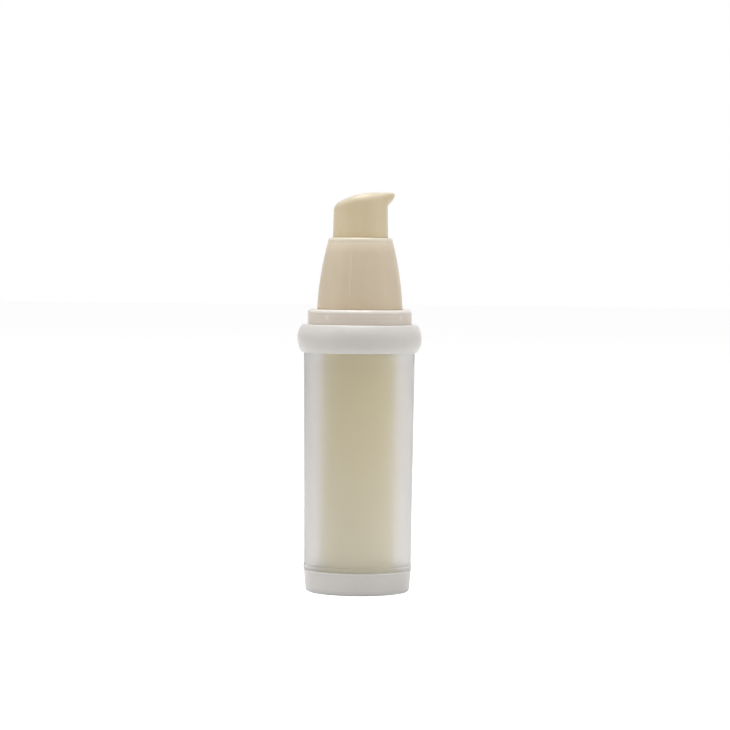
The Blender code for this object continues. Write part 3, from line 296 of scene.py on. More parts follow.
@dataclass(frozen=True)
class Thread:
    """A right-handed screw thread.

    Attributes:
        start: Height of its centre line at angle 0.
        turns: How many turns it has.
        pitch: How far it climbs in a turn.
        half_width: Half of the ridge's width at its root.
        flank: Width of each flank.
        run_out: Turns over which each end fades.
        depth: Height of the ridge.
    """

    start: float
    turns: float
    pitch: float = 3.0 * MM
    half_width: float = 0.62 * MM
    flank: float = 0.38 * MM
    run_out: float = 0.12
    depth: float = 0.72 * MM

    def ridge(self, angles: Array, heights: Array) -> Array:
        """Share 0 to 1 of the ridge at each angle and height.

        The ridge's centre line climbs by the pitch in each turn. The share falls from 1 on the crest to 0
        over the flank's width, and over the run-out at both ends of the thread.

        Args:
            angles: Angles round the axis, 0 up to a full turn.
            heights: Heights of the points.

        Returns:
            The share at each point.
        """
        share = np.zeros(np.broadcast(angles, heights).shape)
        for turn in range(math.ceil(self.turns)):
            along = turn + angles / math.tau
            ends = smooth_step(along / self.run_out) * smooth_step((self.turns - along) / self.run_out)
            away = np.abs(heights - self.start - self.pitch * along)
            flank = smooth_step((self.half_width - away) / self.flank)
            share = np.maximum(share, flank * ends)
        return share

    def on_wall(self, wall: float, low: float, high: float, side: float) -> Shaper:
        """Give the shaper that raises the thread on a round wall.

        Args:
            wall: Radius of the wall.
            low: Height that the wall's threaded part starts above.
            high: Height that it ends below.
            side: 1 for a thread on the outside of a wall, -1 for one in a bore.

        Returns:
            The shaper, which also marks the ridge as an edge.
        """
        def shape(angles: Array, radii: Array, heights: Array) -> Marked:
            """Move the wall's radii by the thread's depth times the share of its ridge.

            Args:
                angles: Angles of the grid's columns.
                radii: Radii of its points.
                heights: Heights of its points.

            Returns:
                The new radii and the marks of edges.
            """
            threaded = (np.abs(radii - wall) < TOUCH) & (heights > low) & (heights < high)
            share = threaded * self.ridge(angles, heights)
            return radii + side * self.depth * share, share

        return shape


def grid_quads(rows: int, columns: int, wrap_rows: bool, wrap_columns: bool) -> Array:
    """Corner indices of the quads between neighbouring rows and columns of a grid.

    Args:
        rows: Number of rows.
        columns: Number of columns.
        wrap_rows: Whether the last row joins the first.
        wrap_columns: Whether the last column joins the first.

    Returns:
        Rows of four indices into the flattened grid.
    """
    lower = np.arange(rows if wrap_rows else rows - 1)[:, None]
    left = np.arange(columns if wrap_columns else columns - 1)[None, :]
    upper, right = (lower + 1) % rows, (left + 1) % columns
    corners = [lower * columns + left, lower * columns + right,
               upper * columns + right, upper * columns + left]
    spread = [np.broadcast_to(corner, (lower.size, left.size)) for corner in corners]
    return np.stack(spread, axis=-1).reshape(-1, 4)


def link(name: str, data: ID) -> Object:
    """Make an object of its data and link it to the scene.

    Args:
        name: Name of the object.
        data: Its mesh, lamp or camera.

    Returns:
        The object, at the origin.
    """
    item = bpy.data.objects.new(name, data)
    bpy.context.scene.collection.objects.link(item)
    return item


def surface(name: str, grid: Array, wrap_rows: bool, wrap_columns: bool, edge: Array) -> Object:
    """Make an object from a grid of points, with its poles closed and its faces pointing out.

    Args:
        name: Name of the object.
        grid: Points as (rows, columns, 3).
        wrap_rows: Whether the last row joins the first.
        wrap_columns: Whether the last column joins the first.
        edge: Share of an edge at each point, as (rows, columns).

    Returns:
        The object, linked to the scene, at the origin.
    """
    quads = grid_quads(grid.shape[0], grid.shape[1], wrap_rows, wrap_columns)
    mesh = bpy.data.meshes.new(name)
    mesh.vertices.add(grid.shape[0] * grid.shape[1])
    mesh.vertices.foreach_set("co", grid.astype(np.float32).ravel())
    mesh.loops.add(quads.size)
    mesh.loops.foreach_set("vertex_index", quads.astype(np.int32).ravel())
    mesh.polygons.add(len(quads))
    mesh.polygons.foreach_set("loop_start", np.arange(0, quads.size, 4, dtype=np.int32))
    mesh.update(calc_edges=True)
    mark = mesh.attributes.new("edge", "FLOAT", "POINT")
    mark.data.foreach_set("value", edge.astype(np.float32).ravel())
    close(mesh)
    return link(name, mesh)


def close(mesh: Mesh) -> None:
    """Merge a mesh's doubled points, turn its faces outwards and shade it smooth.

    Args:
        mesh: The mesh, which is changed in place.
    """
    work = bmesh.new()
    work.from_mesh(mesh)
    bmesh.ops.remove_doubles(work, verts=work.verts, dist=MERGE_DISTANCE)
    bmesh.ops.dissolve_degenerate(work, edges=work.edges, dist=MERGE_DISTANCE)
    bmesh.ops.recalc_face_normals(work, faces=work.faces)
    work.to_mesh(mesh)
    work.free()
    mesh.shade_smooth()


def turned(name: str, corners: Array, sides: int, shaper: Shaper | None = None) -> Object:
    """Carry an outline round the axis: x = r cos(a), y = r sin(a) and z = h at every angle a.

    Args:
        name: Name of the object.
        corners: The outline; it closes on itself, or starts and ends on the axis.
        sides: Number of steps round the axis.
        shaper: Gives new radii and marks of edges from the angles, radii and heights of the whole grid.

    Returns:
        The turned object.
    """
    points, edge = rounded(corners)
    angles = (math.tau * np.arange(sides) / sides)[:, None]
    radii = np.broadcast_to(points[:, 0], (sides, len(points)))
    heights = np.broadcast_to(points[:, 1], (sides, len(points)))
    edge = np.broadcast_to(edge, (sides, len(points)))
    if shaper:
        radii, marks = shaper(angles, radii, heights)
        edge = np.maximum(edge, marks)
    grid = np.stack([radii * np.cos(angles), radii * np.sin(angles), heights], axis=-1)
    closed = bool(points[:, 0].min() > MERGE_DISTANCE)
    return surface(name, grid, True, closed, edge)


def rod(name: str, start: Vector, direction: Vector, length: float, radius: float) -> Object:
    """Make a round rod from a place along a direction, by turning a rectangle and laying it over.

    Args:
        name: Name of the object.
        start: Centre of its first end.
        direction: Which way it runs.
        length: How long it is.
        radius: Its radius.

    Returns:
        The rod.
    """
    ends = outline((0.0, length, ON_CURVE), (radius, length), (radius, 0.0), (0.0, 0.0, ON_CURVE))
    item = turned(name, ends, SMALL_SIDES)
    aim = direction.to_track_quat("Z", "Y").to_matrix().to_4x4()
    item.data.transform(Matrix.Translation(start) @ aim)
    return item


def carve(piece: Object, cutter: Object) -> None:
    """Cut a cutter out of a piece and remove the cutter.

    Args:
        piece: The piece, which gets a new mesh.
        cutter: The object that is taken away from it.
    """
    boolean = piece.modifiers.new(cutter.name, "BOOLEAN")
    boolean.object = cutter
    boolean.operation = "DIFFERENCE"
    graph = bpy.context.evaluated_depsgraph_get()
    mesh = bpy.data.meshes.new_from_object(piece.evaluated_get(graph))
    piece.modifiers.clear()
    piece.data = mesh
    bpy.data.objects.remove(cutter, do_unlink=True)
    mesh.shade_smooth()
    mesh.set_sharp_from_angle(angle=SHARP_ANGLE)


class Graph:
    """A node tree with short calls that add its nodes and link them."""

    def __init__(self, tree: NodeTree) -> None:
        """Take a node tree and empty it."""
        self.tree = tree
        self.tree.nodes.clear()

    def add(self, kind: str, inputs: dict | None = None, **settings: object) -> Node:
        """Add a node.

        Args:
            kind: The node's type without the ShaderNode in front.
            inputs: Sockets or values for its inputs, by name or index.
            settings: The node's own properties, which are set before its inputs.

        Returns:
            The node.
        """
        node = self.tree.nodes.new(kind if kind.startswith("Node") else "ShaderNode" + kind)
        for key, value in settings.items():
            setattr(node, key, value)
        for key, value in (inputs or {}).items():
            if isinstance(value, NodeSocket):
                self.tree.links.new(value, node.inputs[key])
            else:
                node.inputs[key].default_value = value
        return node

    def math(self, operation: str, *values: object, clamp: bool = False) -> NodeSocket:
        """Add a Math node on sockets or numbers and give its output."""
        return self.add("Math", dict(enumerate(values)), operation=operation, use_clamp=clamp).outputs[0]

    def vector(self, operation: str, first: object, second: object) -> Node:
        """Add a Vector Math node on two sockets or vectors and give the node."""
        return self.add("VectorMath", {0: first, 1: second}, operation=operation)

    def mix(self, share: object, first: object, second: object) -> NodeSocket:
        """Mix two colours by a share and give the result."""
        return self.add("Mix", {0: share, 6: first, 7: second}, data_type="RGBA").outputs[2]

    def ramp(self, value: object, low: object, high: object, to_low: object = 0.0,
             to_high: object = 1.0) -> NodeSocket:
        """Map a value smoothly from one range to another and give the result."""
        inputs = {"Value": value, "From Min": low, "From Max": high, "To Min": to_low, "To Max": to_high}
        return self.add("MapRange", inputs, interpolation_type="SMOOTHSTEP").outputs[0]

    def noise(self, vector: object, scale: object, detail: float = MIDDLE_DETAIL) -> NodeSocket:
        """Add a noise texture and give its value."""
        return self.add("TexNoise", {"Vector": vector, "Scale": scale, "Detail": detail}).outputs[0]

    def place(self) -> NodeSocket:
        """Give a point's place in its object, which is its place in the frame at rest."""
        return self.add("TexCoord").outputs["Object"]


def start_material(name: str) -> tuple[Material, Graph]:
    """Start a material.

    Args:
        name: Name of the material.

    Returns:
        The material and its empty graph.
    """
    material = bpy.data.materials.new(name)
    material.use_nodes = True
    return material, Graph(material.node_tree)


def make_group(name: str, inputs: dict[str, object], outputs: dict[str, str]) -> tuple[Graph, NodeOutputs]:
    """Start a shader node group.

    Args:
        name: Name of the group.
        inputs: Default value of each input by name: a number, or a colour of four.
        outputs: Socket type of each output by name.

    Returns:
        The group's graph, and the sockets that give its inputs.
    """
    tree = bpy.data.node_groups.new(name, "ShaderNodeTree")
    for label, default in inputs.items():
        kind = "NodeSocketColor" if isinstance(default, tuple) else "NodeSocketFloat"
        tree.interface.new_socket(name=label, in_out="INPUT", socket_type=kind).default_value = default
    for label, kind in outputs.items():
        tree.interface.new_socket(name=label, in_out="OUTPUT", socket_type=kind)
    graph = Graph(tree)
    return graph, graph.add("NodeGroupInput").outputs


def linear(colour: Colour) -> tuple[float, float, float, float]:
    """Linear colour of display values: ((v + 0.055) / 1.055)^2.4, or v / 12.92 where v is small.

    Args:
        colour: Red, green and blue as the picture shows them.

    Returns:
        The linear colour, with full cover.
    """
    shown = np.array(colour)
    light = np.where(shown <= 0.04045, shown / 12.92, ((shown + 0.055) / 1.055) ** 2.4)
    return (*(float(value) for value in light), 1.0)


@dataclass
class Effects:
    """Node groups that more than one material uses. A scale is the number of features in a metre."""

    cloud_scale: float = 110.0
    cloud_range: tuple[float, float] = (0.3, 0.7)  # values of the noise that become 0 and 1
    flow_scale: float = 620.0
    flow_range: tuple[float, float] = (0.35, 0.75)
    flow_stretch: float = 0.16  # factor on heights that makes the flow streaks long
    grain_scale: float = 5200.0
    grain_share: float = 0.2  # of the grain in the skin's height, where the peel has the rest
    edge_polish: float = 0.2  # how far the roughness falls on a full edge
    line_fade: float = 3.0 * MM  # length over which the parting line fades at each end
    streak_scale: float = 900.0
    streak_stretch: float = 14.0  # factor on heights that makes the steel's streaks narrow
    streak_spread: float = 0.12  # how far they raise its roughness

    def __post_init__(self) -> None:
        """Build every group once."""
        self.skin = self.moulded_skin()
        self.line = self.parting_line()
        self.metal = self.drawn_metal()

    def moulded_skin(self) -> NodeTree:
        """Skin of moulded plastic.

        Broad clouds and finer flow streaks mix two colours, fine grain and clouds vary the roughness,
        rounded edges are a little smoother and get a painted highlight in a lighter colour, and the height
        holds a fine peel with grain on it.

        Returns:
            The group: colours and amounts in, colour, roughness and height out.
        """
        graph, given = make_group("moulded_skin", {
            "Colour": WHITE, "Second Colour": WHITE, "Edge Highlight Colour": WHITE, "Cloud Share": 0.5,
            "Flow Share": 0.3, "Edge Highlight Share": 0.2, "Roughness": 0.4, "Roughness Spread": 0.08,
            "Peel Scale": 1400.0,
        }, {"Colour": "NodeSocketColor", "Roughness": "NodeSocketFloat", "Height": "NodeSocketFloat"})
        place = graph.place()
        long = graph.add("Mapping", {"Vector": place, "Scale": (1.0, 1.0, self.flow_stretch)}).outputs[0]
        cloud = graph.ramp(graph.noise(place, self.cloud_scale, CLOUD_DETAIL), *self.cloud_range)
        flow = graph.ramp(graph.noise(long, self.flow_scale), *self.flow_range)
        grain = graph.noise(place, self.grain_scale, GRAIN_DETAIL)
        peel = graph.noise(place, given["Peel Scale"], GRAIN_DETAIL)
        edge = graph.add("Attribute", attribute_name="edge").outputs["Fac"]

        share = graph.math("ADD", graph.math("MULTIPLY", cloud, given["Cloud Share"]),
                           graph.math("MULTIPLY", flow, given["Flow Share"]), clamp=True)
        body = graph.mix(share, given["Colour"], given["Second Colour"])
        # painted highlight: rounded edges turn towards the lighter edge colour, and the same share lowers
        # their roughness
        edge_highlight_and_polish = graph.math("MULTIPLY", edge, given["Edge Highlight Share"])
        colour = graph.mix(edge_highlight_and_polish, body, given["Edge Highlight Colour"])

        uneven = graph.math("SUBTRACT", graph.math("ADD", cloud, grain), 1.0)
        rough = graph.math("ADD", given["Roughness"],
                           graph.math("MULTIPLY", uneven, given["Roughness Spread"]))
        rough = graph.math("SUBTRACT", rough, graph.math("MULTIPLY", edge_highlight_and_polish, self.edge_polish), clamp=True)
        height = graph.math("ADD", graph.math("MULTIPLY", peel, 1 - self.grain_share),
                            graph.math("MULTIPLY", grain, self.grain_share))
        graph.add("NodeGroupOutput", {"Colour": colour, "Roughness": rough, "Height": height})
        return graph.tree

    def parting_line(self) -> NodeTree:
        """Faint raised line where the two halves of a mould met.

        The line lies in a plane through the axis. A point's distance from the plane is the dot product of
        its place with the plane's normal, and the mask falls from 1 to 0 over the line's half width.

        Returns:
            The group: the plane's normal, the half width and a range of heights in, a mask out.
        """
        graph, given = make_group("parting_line", {
            "Normal X": 1.0, "Normal Y": 0.0, "Half Width": 0.35 * MM, "Low": 0.0, "High": 1.0,
        }, {"Mask": "NodeSocketFloat"})
        place = graph.place()
        normal = graph.add("CombineXYZ", {"X": given["Normal X"], "Y": given["Normal Y"]})
        away = graph.math("ABSOLUTE", graph.vector("DOT_PRODUCT", place, normal.outputs[0]).outputs["Value"])
        line = graph.ramp(away, 0.0, given["Half Width"], 1.0, 0.0)
        height = graph.add("SeparateXYZ", {0: place}).outputs["Z"]
        faded_in = graph.math("ADD", given["Low"], self.line_fade)
        above = graph.ramp(height, given["Low"], faded_in)
        fades_out = graph.math("SUBTRACT", given["High"], self.line_fade)
        below = graph.ramp(height, fades_out, given["High"], 1.0, 0.0)
        mask = graph.math("MULTIPLY", line, graph.math("MULTIPLY", above, below))
        graph.add("NodeGroupOutput", {"Mask": mask})
        return graph.tree

    def drawn_metal(self) -> NodeTree:
        """Drawn or polished steel: streaks round the axis in its colour, roughness and height.

        Returns:
            The group: two colours and a roughness in, colour, roughness and height out.
        """
        graph, given = make_group("drawn_metal", {
            "Colour": WHITE, "Second Colour": WHITE, "Roughness": 0.3,
        }, {"Colour": "NodeSocketColor", "Roughness": "NodeSocketFloat", "Height": "NodeSocketFloat"})
        scale = (1.0, 1.0, self.streak_stretch)
        drawn = graph.add("Mapping", {"Vector": graph.place(), "Scale": scale}).outputs[0]
        streak = graph.noise(drawn, self.streak_scale, CLOUD_DETAIL)
        colour = graph.mix(streak, given["Colour"], given["Second Colour"])
        spread = graph.math("MULTIPLY", streak, self.streak_spread)
        rough = graph.math("ADD", given["Roughness"], spread, clamp=True)
        graph.add("NodeGroupOutput", {"Colour": colour, "Roughness": rough, "Height": streak})
        return graph.tree


@dataclass(frozen=True)
class PlasticFinish:
    """A moulded plastic.

    Attributes:
        name: Name of the material.
        colour: Main colour, in display values.
        second: Colour of its clouds and flow streaks.
        edge: Colour of the painted highlight on its rounded edges and on its parting line.
        edge_highlight_share: How much of the edge colour shows there.
        roughness: Mean roughness.
        spread: How far the roughness varies.
        specular: Level of its shine.
        sheen: Strength of the pale haze that it shows at grazing angles.
        sheen_roughness: How wide that haze reaches.
        cloud_share: Strength of the broad clouds.
        flow_share: Strength of the flow streaks.
        peel: Depth of the peel in its surface.
        peel_scale: Peel features in a metre.
        line_angle: Direction of the parting line's plane from +X, or None for no line.
        line_height: Height of the parting line over the surface.
        line_highlight_share: How much of the edge colour shows on it.
        line_low: Where the parting line starts.
        line_high: Where it ends.
        subsurface: Share of light that the plastic scatters inside.
        scatter_depth: How far that light travels.
        painted_light_tint: Factors on its colour's linear values towards its foot, painted light and shade
            that
        change with height, or None for no change.
        foot_low: Height below which the tint is full.
        foot_high: Height above which there is none.
    """

    name: str
    colour: Colour
    second: Colour
    edge: Colour
    edge_highlight_share: float = 0.25
    roughness: float = 0.38
    spread: float = 0.08
    specular: float = 0.4
    sheen: float = 0.35
    sheen_roughness: float = 0.35
    cloud_share: float = 0.6
    flow_share: float = 0.3
    peel: float = 0.004 * MM
    peel_scale: float = 1400.0
    line_angle: float | None = None
    line_height: float = 0.03 * MM
    line_highlight_share: float = 0.35
    line_low: float = 0.0
    line_high: float = 0.2
    subsurface: float = 0.0
    scatter_depth: float = 1.0 * MM
    painted_light_tint: Colour | None = None
    foot_low: float = 0.0
    foot_high: float = 0.1

    def paint_light_by_height(self, graph: Graph, shown: NodeSocket) -> NodeSocket:
        """Paint light and shade into a colour towards the foot.

        Args:
            graph: The material's graph.
            shown: The colour.

        Returns:
            The colour with the tint below, and as it was above.
        """
        height = graph.add("SeparateXYZ", {0: graph.place()}).outputs["Z"]
        share = graph.ramp(height, self.foot_low, self.foot_high)
        light_painted = graph.vector("MULTIPLY", shown, self.painted_light_tint).outputs["Vector"]
        return graph.mix(share, light_painted, shown)

    def build(self, effects: Effects) -> Material:
        """Build the material.

        Args:
            effects: The shared node groups.

        Returns:
            The material.
        """
        material, graph = start_material(self.name)
        skin = graph.add("Group", {
            "Colour": linear(self.colour), "Second Colour": linear(self.second),
            "Edge Highlight Colour": linear(self.edge), "Cloud Share": self.cloud_share,
            "Flow Share": self.flow_share, "Edge Highlight Share": self.edge_highlight_share, "Roughness": self.roughness,
            "Roughness Spread": self.spread, "Peel Scale": self.peel_scale,
        }, node_tree=effects.skin).outputs
        shown = skin["Colour"]
        bump = graph.add("Bump", {"Height": skin["Height"], "Distance": self.peel, "Strength": 1.0})
        # painted light and shade that change with height
        if self.painted_light_tint is not None:
            shown = self.paint_light_by_height(graph, shown)
        if self.line_angle is not None:
            mask = graph.add("Group", {
                "Normal X": math.sin(self.line_angle), "Normal Y": -math.cos(self.line_angle),
                "Low": self.line_low, "High": self.line_high,
            }, node_tree=effects.line).outputs["Mask"]
            raised = {"Height": mask, "Distance": self.line_height, "Normal": bump.outputs[0]}
            bump = graph.add("Bump", raised)
            # painted highlight: the raised parting line is mixed towards the edge colour
            shown = graph.mix(graph.math("MULTIPLY", mask, self.line_highlight_share), shown, linear(self.edge))
        shader = graph.add("BsdfPrincipled", {
            "Base Color": shown, "Roughness": skin["Roughness"], "Normal": bump.outputs[0],
            "Specular IOR Level": self.specular, "Subsurface Weight": self.subsurface,
            "Subsurface Scale": self.scatter_depth, "Subsurface Radius": (1.0, 1.0, 1.0),
            "Sheen Weight": self.sheen, "Sheen Roughness": self.sheen_roughness,
        })
        graph.add("OutputMaterial", {"Surface": shader.outputs[0]})
        return material


@dataclass(frozen=True)
class FrostedFinish:
    """Clear plastic with a frosted outer wall and a polished foot band and bore.

    Attributes:
        name: Name of the material.
        wall_middle: Radius between the bore and the outer wall.
        frost_low: Height where the frosting starts, above the foot band.
        foot: Tint of the polished foot band, in display values.
        bore: Tint of the bore.
        frost: Tint of the frosted wall.
        top: Tint near the wall's upper end, lighter than the frost: painted light where the shoulder ring
            shades the tube.
        painted_light_low: Height where that tint starts.
        painted_light_high: Height where it is full.
        frost_roughness: Roughness of the frosted wall.
        frost_spread: How far the frosted wall's roughness varies.
        bore_roughness: Roughness of the bore.
        clear_roughness: Roughness of the polished foot.
        clearness: Share of light that passes; the plastic's haze scatters the rest.
        refraction: Index of refraction.
        cloud_scale: Uneven places of the frosting in a metre.
        grain_scale: Grains of the frost in a metre.
        grain: Depth of the frost's grain.
    """

    name: str
    wall_middle: float
    frost_low: float
    foot: Colour = (0.998, 0.995, 0.985)
    bore: Colour = (0.94, 0.94, 0.935)
    frost: Colour = (0.932, 0.922, 0.918)
    top: Colour = (0.995, 0.995, 0.995)
    painted_light_low: float = 74 * MM
    painted_light_high: float = 80.5 * MM
    frost_roughness: float = 0.42
    frost_spread: float = 0.1
    bore_roughness: float = 0.25
    clear_roughness: float = 0.34
    clearness: float = 0.95
    refraction: float = 1.5
    cloud_scale: float = 160.0
    grain_scale: float = 4200.0
    grain: float = 0.003 * MM

    def build(self) -> Material:
        """Build the material: masks on radius and height choose between frosted and polished.

        Returns:
            The material.
        """
        material, graph = start_material(self.name)
        place = graph.place()
        axes = graph.add("SeparateXYZ", {0: place}).outputs
        squares = [graph.math("POWER", graph.math("ABSOLUTE", axes[axis]), 2.0) for axis in "XY"]
        radius = graph.math("SQRT", graph.math("ADD", *squares))
        outside = graph.ramp(radius, self.wall_middle - FIT_GAP, self.wall_middle + FIT_GAP)
        above = graph.ramp(axes["Z"], self.frost_low, self.frost_low + FIT_GAP)
        frosted = graph.math("MULTIPLY", outside, above)

        cloud = graph.noise(place, self.cloud_scale, CLOUD_DETAIL)
        uneven = graph.math("MULTIPLY", graph.math("SUBTRACT", cloud, 0.5), self.frost_spread)
        frost_rough = graph.math("ADD", uneven, self.frost_roughness)
        polished = graph.ramp(above, 0.0, 1.0, self.clear_roughness, self.bore_roughness)
        clear = graph.math("SUBTRACT", 1.0, frosted)
        rough = graph.math("ADD", graph.math("MULTIPLY", frosted, frost_rough),
                           graph.math("MULTIPLY", clear, polished))

        wall = graph.mix(outside, linear(self.bore), linear(self.frost))
        # painted light: the wall's tint turns lighter towards its upper end, under the shoulder ring
        painted_top_light = graph.ramp(axes["Z"], self.painted_light_low, self.painted_light_high)
        colour = graph.mix(above, linear(self.foot), graph.mix(painted_top_light, wall, linear(self.top)))
        height = graph.math("MULTIPLY", frosted, graph.noise(place, self.grain_scale))
        bump = graph.add("Bump", {"Height": height, "Distance": self.grain, "Strength": 1.0})
        shader = graph.add("BsdfPrincipled", {
            "Base Color": colour, "Roughness": rough, "Normal": bump.outputs[0],
            "Transmission Weight": self.clearness, "IOR": self.refraction,
        })
        graph.add("OutputMaterial", {"Surface": shader.outputs[0]})
        return material


@dataclass(frozen=True)
class SteelFinish:
    """Bare steel of the spring's wire and the valve's ball.

    Attributes:
        name: Name of the material.
        colour: Main colour, in display values.
        second: Colour of its streaks.
        roughness: Least roughness.
        streak: Depth of the streaks.
    """

    name: str
    colour: Colour = (0.80, 0.80, 0.80)
    second: Colour = (0.66, 0.66, 0.67)
    roughness: float = 0.22
    streak: float = 0.002 * MM

    def build(self, effects: Effects) -> Material:
        """Build the material.

        Args:
            effects: The shared node groups.

        Returns:
            The material.
        """
        material, graph = start_material(self.name)
        metal = graph.add("Group", {
            "Colour": linear(self.colour), "Second Colour": linear(self.second),
            "Roughness": self.roughness,
        }, node_tree=effects.metal).outputs
        bump = graph.add("Bump", {"Height": metal["Height"], "Distance": self.streak, "Strength": 1.0})
        shader = graph.add("BsdfPrincipled", {
            "Base Color": metal["Colour"], "Roughness": metal["Roughness"], "Metallic": 1.0,
            "Normal": bump.outputs[0],
        })
        graph.add("OutputMaterial", {"Surface": shader.outputs[0]})
        return material


class Finishes:
    """Every material of the bottle."""

    def __init__(self, case: OuterCase) -> None:
        """Build the materials.

        Args:
            case: The outer case, whose sizes the frosting follows.
        """
        effects = Effects()
        # each edge colour is a painted highlight on the piece's rounded edges
        self.white = PlasticFinish(
            "white_plastic", colour=(0.885, 0.87, 0.855), second=(0.87, 0.855, 0.84),
            edge=(0.965, 0.96, 0.95), roughness=0.38, edge_highlight_share=0.8, subsurface=0.5,
            # painted shade: the base darkens towards its foot, where it meets the floor
            painted_light_tint=(0.66, 0.665, 0.67), foot_low=0.1 * MM, foot_high=1.7 * MM,
        ).build(effects)
        self.ivory = PlasticFinish(
            "ivory_plastic", colour=(0.905, 0.862, 0.808), second=(0.89, 0.847, 0.793),
            edge=(0.97, 0.95, 0.92), roughness=0.36, edge_highlight_share=0.85,
        ).build(effects)
        self.collar = PlasticFinish(
            "cream_plastic_collar", colour=(0.952, 0.896, 0.80), second=(0.937, 0.881, 0.78),
            edge=(0.95, 0.92, 0.86), roughness=0.4, edge_highlight_share=0.55,
            # the collar's parting line gets a painted highlight in its edge colour
            line_angle=math.radians(-104), line_low=97 * MM, line_high=114 * MM,
            # painted light and shade: the bell is darker below the shoulder, so the shoulder shows lighter
            # as if lit from above
            painted_light_tint=(0.82, 0.785, 0.745), foot_low=111 * MM, foot_high=117 * MM,
        ).build(effects)
        self.head = PlasticFinish(
            "cream_plastic_head", colour=(0.902, 0.834, 0.69), second=(0.887, 0.819, 0.67),
            edge=(0.90, 0.87, 0.82), roughness=0.4, edge_highlight_share=0.8,
        ).build(effects)
        self.cup = PlasticFinish(
            "cream_plastic_cup", colour=(0.918, 0.866, 0.682), second=(0.903, 0.851, 0.662),
            edge=(0.95, 0.91, 0.80), roughness=0.45, cloud_share=0.8,
            # painted light: the cup turns lighter and paler towards its foot, as if lit by the floor
            painted_light_tint=(1.11, 1.165, 1.42), foot_low=8 * MM, foot_high=72 * MM,
        ).build(effects)
        self.natural = PlasticFinish(
            "natural_plastic", colour=(0.90, 0.90, 0.885), second=(0.88, 0.88, 0.86),
            edge=(0.94, 0.94, 0.93), roughness=0.36, subsurface=0.25,
        ).build(effects)
        self.soft = PlasticFinish(
            "soft_plastic", colour=(0.87, 0.88, 0.89), second=(0.84, 0.85, 0.86),
            edge=(0.92, 0.93, 0.93), roughness=0.52, peel=0.008 * MM, subsurface=0.2,
        ).build(effects)
        self.steel = SteelFinish("drawn_steel").build(effects)
        self.frosted = FrostedFinish("frosted_clear_plastic", case.wall_middle, case.frost_low).build()


def fit(piece: Object, node: str, body: Body, material: Material) -> Object:
    """Dress a piece, let it ride on its body and let it stand for its CAD node.

    Args:
        piece: The finished piece.
        node: The CAD node that it replaces.
        body: The body that it rides on.
        material: Its material.

    Returns:
        The piece.
    """
    piece.data.materials.clear()
    piece.data.materials.append(material)
    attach(piece, body.value)
    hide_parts(node)
    LOG.info("%s stands for %s on %s with %d faces", piece.name, node, body.value, len(piece.data.polygons))
    return piece


